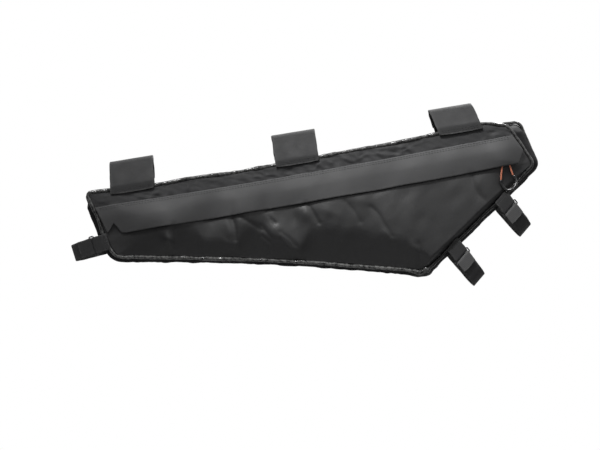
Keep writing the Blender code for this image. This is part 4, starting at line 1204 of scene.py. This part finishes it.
def ribbon(
    name, path, thickness, width, put, material, node, seed, across, step, frayed=0.0002, rough_side=1
):
    """A strap with rounded edges along a flat path. put places a path point and a distance across, frayed is
    how far its edges wander, and its lighter, rough side is the one that rough_side names."""
    line = eased(path)
    line = even(line, max(8, int(lengths(line)[-1] / step)))
    s = lengths(line)
    d = unit(np.gradient(line, axis=0))
    normal = np.stack([d[:, 1], -d[:, 0]], axis=1)
    half_t, half_w = thickness / 2, width / 2
    flat_w = half_w - half_t
    turn = np.linspace(-math.pi / 2, math.pi / 2, ROUND_STEPS + 2)[1:-1]
    w_flat, w_turn = np.linspace(-flat_w, flat_w, across), half_t * np.cos(turn)
    n_flat, n_turn = np.full(across, half_t), half_t * np.sin(turn)
    w_ring = np.concatenate([w_flat, flat_w + w_turn, w_flat[::-1], -flat_w - w_turn])
    n_ring = np.concatenate([-n_flat, n_turn, n_flat, -n_turn])
    sides = len(w_ring)
    rows, uv, wear_and_sheen = [], [], []
    for here, at, out, inner in zip(line, s, normal, from_ends(s, s[-1], 0.006)):
        edge = 1 + (frayed * noise(np.array([at / 0.007, at / 0.007 + 30]), np.zeros(2), seed) / half_w)
        w = np.where(w_ring > 0, w_ring * edge[0], w_ring * edge[1])
        n = n_ring + 0.00010 * noise(np.full(sides, at / 0.012), w_ring / 0.016, seed + 1) * inner
        rows.append([put(here + out * nk, wk) for nk, wk in zip(n, w)])
        shift = np.where(n_ring * rough_side > 0, ROUGH_SHIFT, 0)
        uv.append(np.stack([np.full(sides, at), w_ring + shift], 1))
        close = (half_w - np.abs(w_ring)) / 0.0009
        wear_and_sheen.append(np.exp(-close) + np.exp(-min(at, s[-1] - at) / 0.0008) * 0.6)
    rows = np.array(rows)
    # each end is closed by a smaller ring a little further out
    caps = []
    for ring, inner in ((rows[0], rows[1]), (rows[-1], rows[-2])):
        away = unit(ring - inner) * half_t * 0.7
        caps.append(ring * 0.72 + np.roll(ring[::-1], across, axis=0) * 0.28 + away * 0.9)
    points = np.vstack([caps[0][None], rows, caps[1][None]])
    uv = np.array([uv[0], *uv, uv[-1]]).reshape(-1, 2)
    wear_and_sheen = np.array([wear_and_sheen[0], *wear_and_sheen, wear_and_sheen[-1]]).reshape(-1)
    faces = tube_faces(len(points), sides, False) + end_faces(0, across, sides)
    faces += [face[::-1] for face in end_faces((len(points) - 1) * sides, across, sides)]
    points = points.reshape(-1, 3)
    piece(name, points, facing_out(points, faces), material, [node], uv, wear_and_sheen)


def stitches(name, rows):
    """Rows of thread stitches; each row is a line of points and the way it faces."""
    pitch = STITCH_LONG + STITCH_SPACE
    made = []
    for line, facing in rows:
        total = lengths(line)[-1]
        count = max(1, int((total + STITCH_SPACE) / pitch))
        for s0 in (total - count * pitch + STITCH_SPACE) / 2 + np.arange(count) * pitch:
            at = at_length(line, s0 + STITCH_LONG * STITCH_PLACES)
            up = np.tile(unit(facing), (len(at), 1))
            side = unit(np.cross(unit(np.gradient(at, axis=0)), up))
            middle = at + up * (STITCH_LIFT * STITCH_RADIUS)[:, None]
            made.append(swept(middle, side, up, (STITCH_SIZE * STITCH_RADIUS)[:, None], 5, False, 0.0))
    points, faces = joined(made)
    return piece(name, points, faces, THREAD, [], points[:, [0, 2]])


def row_across(put, p, width, facing):
    """A row of stitches across a strap, from one edge to the other."""
    strap_rows.append((np.array([put(p, w) for w in np.linspace(-width / 2, width / 2, 9)]), facing))


def wide_strap(key, share, lean, seed):
    """A strap over the top tube, and the inner tab on the far side that it lies on."""
    middle = share * BAG_LENGTH - REAR_REACH
    reach = np.array([middle - WIDE_STRAP_WIDTH / 2, middle, middle + WIDE_STRAP_WIDTH / 2])
    near_levels, far_levels = level(near_lines["top"], reach), level(far_lines["top"], reach)
    near_foot, far_foot = near_levels.max(), far_levels.max()

    def put(p, w):
        y, down = p
        share_up = (near_foot - down) / (near_foot + wide_radius)
        return world(middle + w + lean * WIDE_STRAP_WIDTH * share_up, down, y)

    def leaving(levels, side, thickness, radius):
        """Where a strap leaves the piping on one side, and the angle at which it meets the tube's arc."""
        knee = (side * (binding_out + GAP + thickness / 2), levels.min() - binding_tall - KNEE_ROOM_WIDE)
        return knee, tangent_angle(knee, (0, 0), radius, -side)

    tab_knee, tab_stop = leaving(far_levels, 1, TAB_THICKNESS, tab_radius)
    tab_stop += 2 * math.pi
    tab_arc = arc((0, 0), tab_radius, 1.5 * math.pi - TAB_PAST_TOP, tab_stop, 30)
    path = [*tab_arc, tab_knee, (tab_knee[0], far_foot + 0.001)]
    ribbon(
        "tab_cloth_" + key, path, TAB_THICKNESS, WIDE_STRAP_WIDTH - 0.002, put, STRAP, "top_tube_tab_" + key,
        seed, WIDE_ACROSS, WIDE_STEP,
    )
    near_knee, start = leaving(near_levels, -1, WIDE_STRAP_THICKNESS, wide_radius)
    over = arc((0, 0), wide_radius, start, tab_stop, 44)
    toward = np.array(tab_knee) - tab_arc[-1]
    leg = np.linalg.norm(toward)
    path = [(near_knee[0], near_foot + 0.001), near_knee, *over]
    if leg > STRAP_END_SHORT + 0.001:
        path.append(over[-1] + toward / leg * (leg - STRAP_END_SHORT))
    ribbon(
        "strap_cloth_" + key, path, WIDE_STRAP_THICKNESS, WIDE_STRAP_WIDTH, put, STRAP,
        "top_tube_strap_" + key, seed + 3, WIDE_ACROSS, WIDE_STEP, frayed=0.0004,
    )
    near_face, far_face = near_knee[0] - WIDE_STRAP_THICKNESS / 2, tab_knee[0] + TAB_THICKNESS / 2
    for up in (0.0012, 0.0034):
        row_across(put, (near_face, near_foot - up), WIDE_STRAP_WIDTH - 0.006, (0, -1, 0))
        row_across(put, (far_face, far_foot - up), WIDE_STRAP_WIDTH - 0.008, (0, 1, 0))


for order, (key, (share, lean)) in enumerate(WIDE_STRAPS.items()):
    wide_strap(key, share, lean, 100 + 10 * order)

# A tube that narrow straps go round: the bag's side along it, the way up it and off the bag in x and z
Tube = namedtuple("Tube", "side up off radius cable_room fold_back skew rough_side")


def edge_distance(lines, origin, tube):
    """How near the bag's edge comes to the tube's axis within the strap's width."""
    at = raised(lines[tube.side], 0.0)[:, [0, 2]] - origin
    near = np.abs(at @ tube.up) < NARROW_STRAP_WIDTH * 0.9
    return float((-(at @ tube.off))[near].min())


def narrow(prefix, suffix, tube, share, seam_gap, seed):
    """One set of anchor, ring and strap, where a share of one side of the outline lies along the tube."""
    line = near_lines[tube.side]
    meets = at_length(line, lengths(line)[-1] * share)
    origin = world(meets[0], meets[1], 0.0)[[0, 2]] + tube.off * (tube.radius + seam_gap)
    seam, far_seam = edge_distance(near_lines, origin, tube), edge_distance(far_lines, origin, tube)
    t = NARROW_STRAP_THICKNESS
    turn = RING_WIRE_RADIUS + GAP + t / 2
    inner = tube.radius + STRAP_TUBE_GAP + t / 2
    centre = np.array([tube.cable_room, 0.0])
    foot_y = binding_out + GAP + t / 2
    knee, far_knee = (-edge + binding_tall + KNEE_ROOM_NARROW for edge in (seam, far_seam))

    def put(p, w):
        off, y = p
        x, z = origin + tube.off * off + tube.up * (w + tube.skew * off)
        return np.array([x, y, z])

    def narrow_ribbon(what, path, piece_seed, step, rough_side):
        name, node = prefix + what + "_cloth" + suffix, prefix + what + suffix
        ribbon(
            name, path, t, NARROW_STRAP_WIDTH, put, WEBBING, node, piece_seed, NARROW_ACROSS, step,
            rough_side=rough_side,
        )

    start = np.array([knee, -(foot_y - turn)])
    touch = tangent_angle(start, centre, inner + turn, 1)
    end = centre + (inner + turn) * np.array([math.cos(touch), math.sin(touch)])
    way = unit(end - start)
    leg = np.linalg.norm(end - start)
    first = leg * RING_FROM_SEAM
    second = first + RING_SPREAD
    bar_one, bar_two = start + way * first, start + way * second
    heading = math.atan2(-way[0], way[1])
    around = arc(bar_one, turn, heading, heading + math.pi, 12)
    anchor = [(-seam - 0.001, -foot_y), (knee, -foot_y), *around, around[-1] - way * ANCHOR_RETURN]
    narrow_ribbon("anchor", anchor, seed, ANCHOR_STEP, -1)
    for up in (0.0008, 0.0030):
        row_across(put, (-seam + up, -foot_y - t / 2), NARROW_STRAP_WIDTH - 0.004, (0, -1, 0))
        row_across(put, (-far_seam + up, foot_y + t / 2), NARROW_STRAP_WIDTH - 0.004, (0, 1, 0))

    far_touch = tangent_angle((far_knee, foot_y), centre, inner, -1)
    near_touch = math.atan2((end - centre)[1], (end - centre)[0])
    rounding = arc(centre, inner, far_touch, near_touch, 48)
    u_turn = arc(bar_two, turn, heading + math.pi, heading + 2 * math.pi, 12)
    reach = leg - second
    tail = [u_turn[-1] + way * min(tube.fold_back, reach)]
    if tube.fold_back > reach:
        outer = inner + 2 * turn
        tail += list(arc(centre, outer, near_touch, near_touch + (tube.fold_back - reach) / outer, 6)[1:])
    path = [(-far_seam - 0.001, foot_y), (far_knee, foot_y), *rounding, *u_turn, *tail]
    narrow_ribbon("strap", path, seed + 3, NARROW_STEP, tube.rough_side)

    half_width = NARROW_STRAP_WIDTH / 2 + RING_SIDE_GAP + RING_WIRE_RADIUS
    places = [(bar_one, -half_width), (bar_two, -half_width), (bar_two, half_width), (bar_one, half_width)]
    corners = np.array([put(bar, w) for bar, w in places])
    loop = []
    for i, here in enumerate(corners):
        before, after = corners[i - 1], corners[(i + 1) % 4]
        a, b = here + unit(before - here) * RING_BEND, here + unit(after - here) * RING_BEND
        loop += list(bend(a, here, b, 7))
    loop = np.array(loop)
    one, two = loop_frames(loop, unit(np.cross(corners[1] - corners[0], corners[3] - corners[0])))
    points, faces, uv = swept(loop, one, two, RING_WIRE_RADIUS, 12, True)
    piece(prefix + "ring_wire" + suffix, points, faces, WIRE, [prefix + "ring" + suffix], uv)


down_tube = Tube(
    "down_tube",
    np.array([math.cos(DOWN_TUBE_SLOPE), math.sin(DOWN_TUBE_SLOPE)]),
    np.array([math.sin(DOWN_TUBE_SLOPE), -math.cos(DOWN_TUBE_SLOPE)]),
    DOWN_TUBE_RADIUS, CABLE_ROOM_DOWN_TUBE, FOLD_BACK_DOWN_TUBE, DOWN_STRAP_SKEW, rough_side=1,
)
seat_tube = Tube(
    "rear",
    np.array([-math.sin(SEAT_TUBE_LEAN), math.cos(SEAT_TUBE_LEAN)]),
    np.array([-math.cos(SEAT_TUBE_LEAN), -math.sin(SEAT_TUBE_LEAN)]),
    SEAT_TUBE_RADIUS, CABLE_ROOM_SEAT_TUBE, FOLD_BACK_SEAT_TUBE, SEAT_STRAP_SKEW, rough_side=0,
)
for order, (key, (share, seam_gap)) in enumerate(DOWN_STRAPS.items()):
    narrow("down_tube_", "_" + key, down_tube, share, seam_gap, 140 + 10 * order)
narrow("seat_tube_", "", seat_tube, 1 - SEAT_STRAP, SEAM_TO_SEAT_TUBE, 170)


# Thread

stitches("strap_thread", strap_rows)
flap_rows = []
for inset in (0.0016, 0.0038):
    sewn = flap_top[3:-3] + np.array([0.0, inset])
    flap_rows.append((raised(sewn, near_y(sewn) - flap_lift(sewn) - FLAP_WALL), (0.0, -1.0, 0.1)))
flap_thread = stitches("flap_thread", flap_rows)


# The pull: a cord through the slider's bridge, with a moulded end

# Where the cord comes out of the bridge, and how far that is off the crown
CORD_EXIT = (0.2488, 0.0488)
CORD_EXIT_OFF = 0.0034


def crown_y(along, down):
    """The near cloth's height in the solids, which the cord lies on."""
    edge = distance(np.array([[along, down]]), near_round, closed=True)[0]
    return -(HALF + NEAR_CROWN * float(rise(edge, CROWN_REACH)))


def cord_line(rows, radius):
    return through([world(a, d, crown_y(a, d) - h - radius) for a, d, h in rows], 8)


def cord_frames(line):
    """Two directions across a line that don't twist along it."""
    tangent = unit(np.gradient(line, axis=0))
    one = [unit(np.cross(tangent[0], [0.0, 1.0, 0.0]))]
    for t in tangent[1:]:
        one.append(unit(one[-1] - t * np.dot(one[-1], t)))
    one = np.array(one)
    return one, np.cross(tangent, one)


cord_path = even(cord_line(PULL_CORD_POINTS, PULL_CORD_RADIUS), 150)
points, faces, uv = swept(cord_path, *cord_frames(cord_path), PULL_CORD_RADIUS, 12, False)
pull_cord = piece("pull_cord", points, faces, ORANGE, ["zip_pull_cord"], uv)

end_path = even(cord_line(PULL_END_POINTS, PULL_END_RADIUS), 80)
s = lengths(end_path) / lengths(end_path)[-1]
thick = 1 + 0.22 * (hump(s / 0.07) + hump((1 - s) / 0.07)) + 0.10 * hump((s - 0.5) / 0.2)
points, faces, uv = swept(end_path, *cord_frames(end_path), 1.3 * PULL_END_RADIUS * thick[:, None], 14, False)
pull_end = piece("pull_end", points, faces, MOULDED, ["zip_pull_end"], uv)

tuple(world(*CORD_EXIT, crown_y(*CORD_EXIT) - CORD_EXIT_OFF))
float(lengths(cord_path)[-1])

slider = frame["nodes"]["zip_slider"]
slider.data.materials.clear()
slider.data.materials.append(WIRE)


# Floor and light

FLOOR_RADIUS = 1.5
FLOOR_LEVEL = -0.795
FLOOR_CORNERS = 96
# The lamps' place, aim, power in watts and cone in degrees
LAMPS = {
    "front_light": ((-0.8, -1.7, 2.3), (0.14, 0, 0), 326, 15.6),
    "back_light": ((0.8, 2.0, 1.8), (0, 0, 0), 200, 26),
    "rear_light": ((-2.2, -0.9, 0.5), (-0.25, 0, -0.08), 4, 30),
}


def stage_floor():
    """A round pale floor under the bag."""
    turns = [2 * math.pi * k / FLOOR_CORNERS for k in range(FLOOR_CORNERS)]
    ring = [(FLOOR_RADIUS * math.cos(t), FLOOR_RADIUS * math.sin(t), FLOOR_LEVEL) for t in turns]
    mesh = bpy.data.meshes.new("floor")
    mesh.from_pydata(ring, [], [tuple(range(FLOOR_CORNERS))])
    look = Look("floor", rough=0.9)
    look.tone(3, 3, grey(0.35), grey(0.38))
    mesh.materials.append(look.material)
    floor = bpy.data.objects.new("floor", mesh)
    bpy.context.scene.collection.objects.link(floor)


def lamp(name, place, aim, power, cone):
    """A large soft lamp whose light falls off at the edge of its cone."""
    data = bpy.data.lights.new(name, "SPOT")
    data.energy, data.spot_size = power, math.radians(cone)
    data.spot_blend, data.shadow_soft_size = 0.6, 0.35
    aimed(name, data, place, aim)


def studio():
    """White behind the bag, and light that comes mostly from above."""
    sky = bpy.data.worlds.new("studio")
    sky.use_nodes = True
    bpy.context.scene.world = sky
    sky.node_tree.nodes.clear()
    tree = Tree(sky.node_tree)
    x, y, z = tree.axes(tree.node("ShaderNodeTexCoord").outputs["Generated"])
    above = tree.spread(z, -0.10, 0.36, 0.045, 0.82, "SMOOTHSTEP")
    ahead = tree.spread(x, -0.60, 0.25, 0.36, 1.0, "SMOOTHSTEP")
    behind = tree.spread(y, 0.40, 0.85, 0.0, 0.50, "SMOOTHSTEP")
    lit, seen = tree.node("ShaderNodeBackground"), tree.node("ShaderNodeBackground")
    tree.join(tree.math("MAXIMUM", tree.math("MULTIPLY", above, ahead), behind), lit.inputs["Strength"])
    seen.inputs["Color"].default_value = (1, 1, 1, 1)
    to_camera = tree.node("ShaderNodeLightPath").outputs["Is Camera Ray"]
    mix = tree.filled(tree.node("ShaderNodeMixShader"), to_camera, lit.outputs[0], seen.outputs[0])
    tree.join(mix, tree.node("ShaderNodeOutputWorld").inputs[0])
    settings = bpy.context.scene.view_settings
    settings.view_transform, settings.look = "Standard", "None"


stage_floor()
studio()
for name, row in LAMPS.items():
    lamp(name, *row)
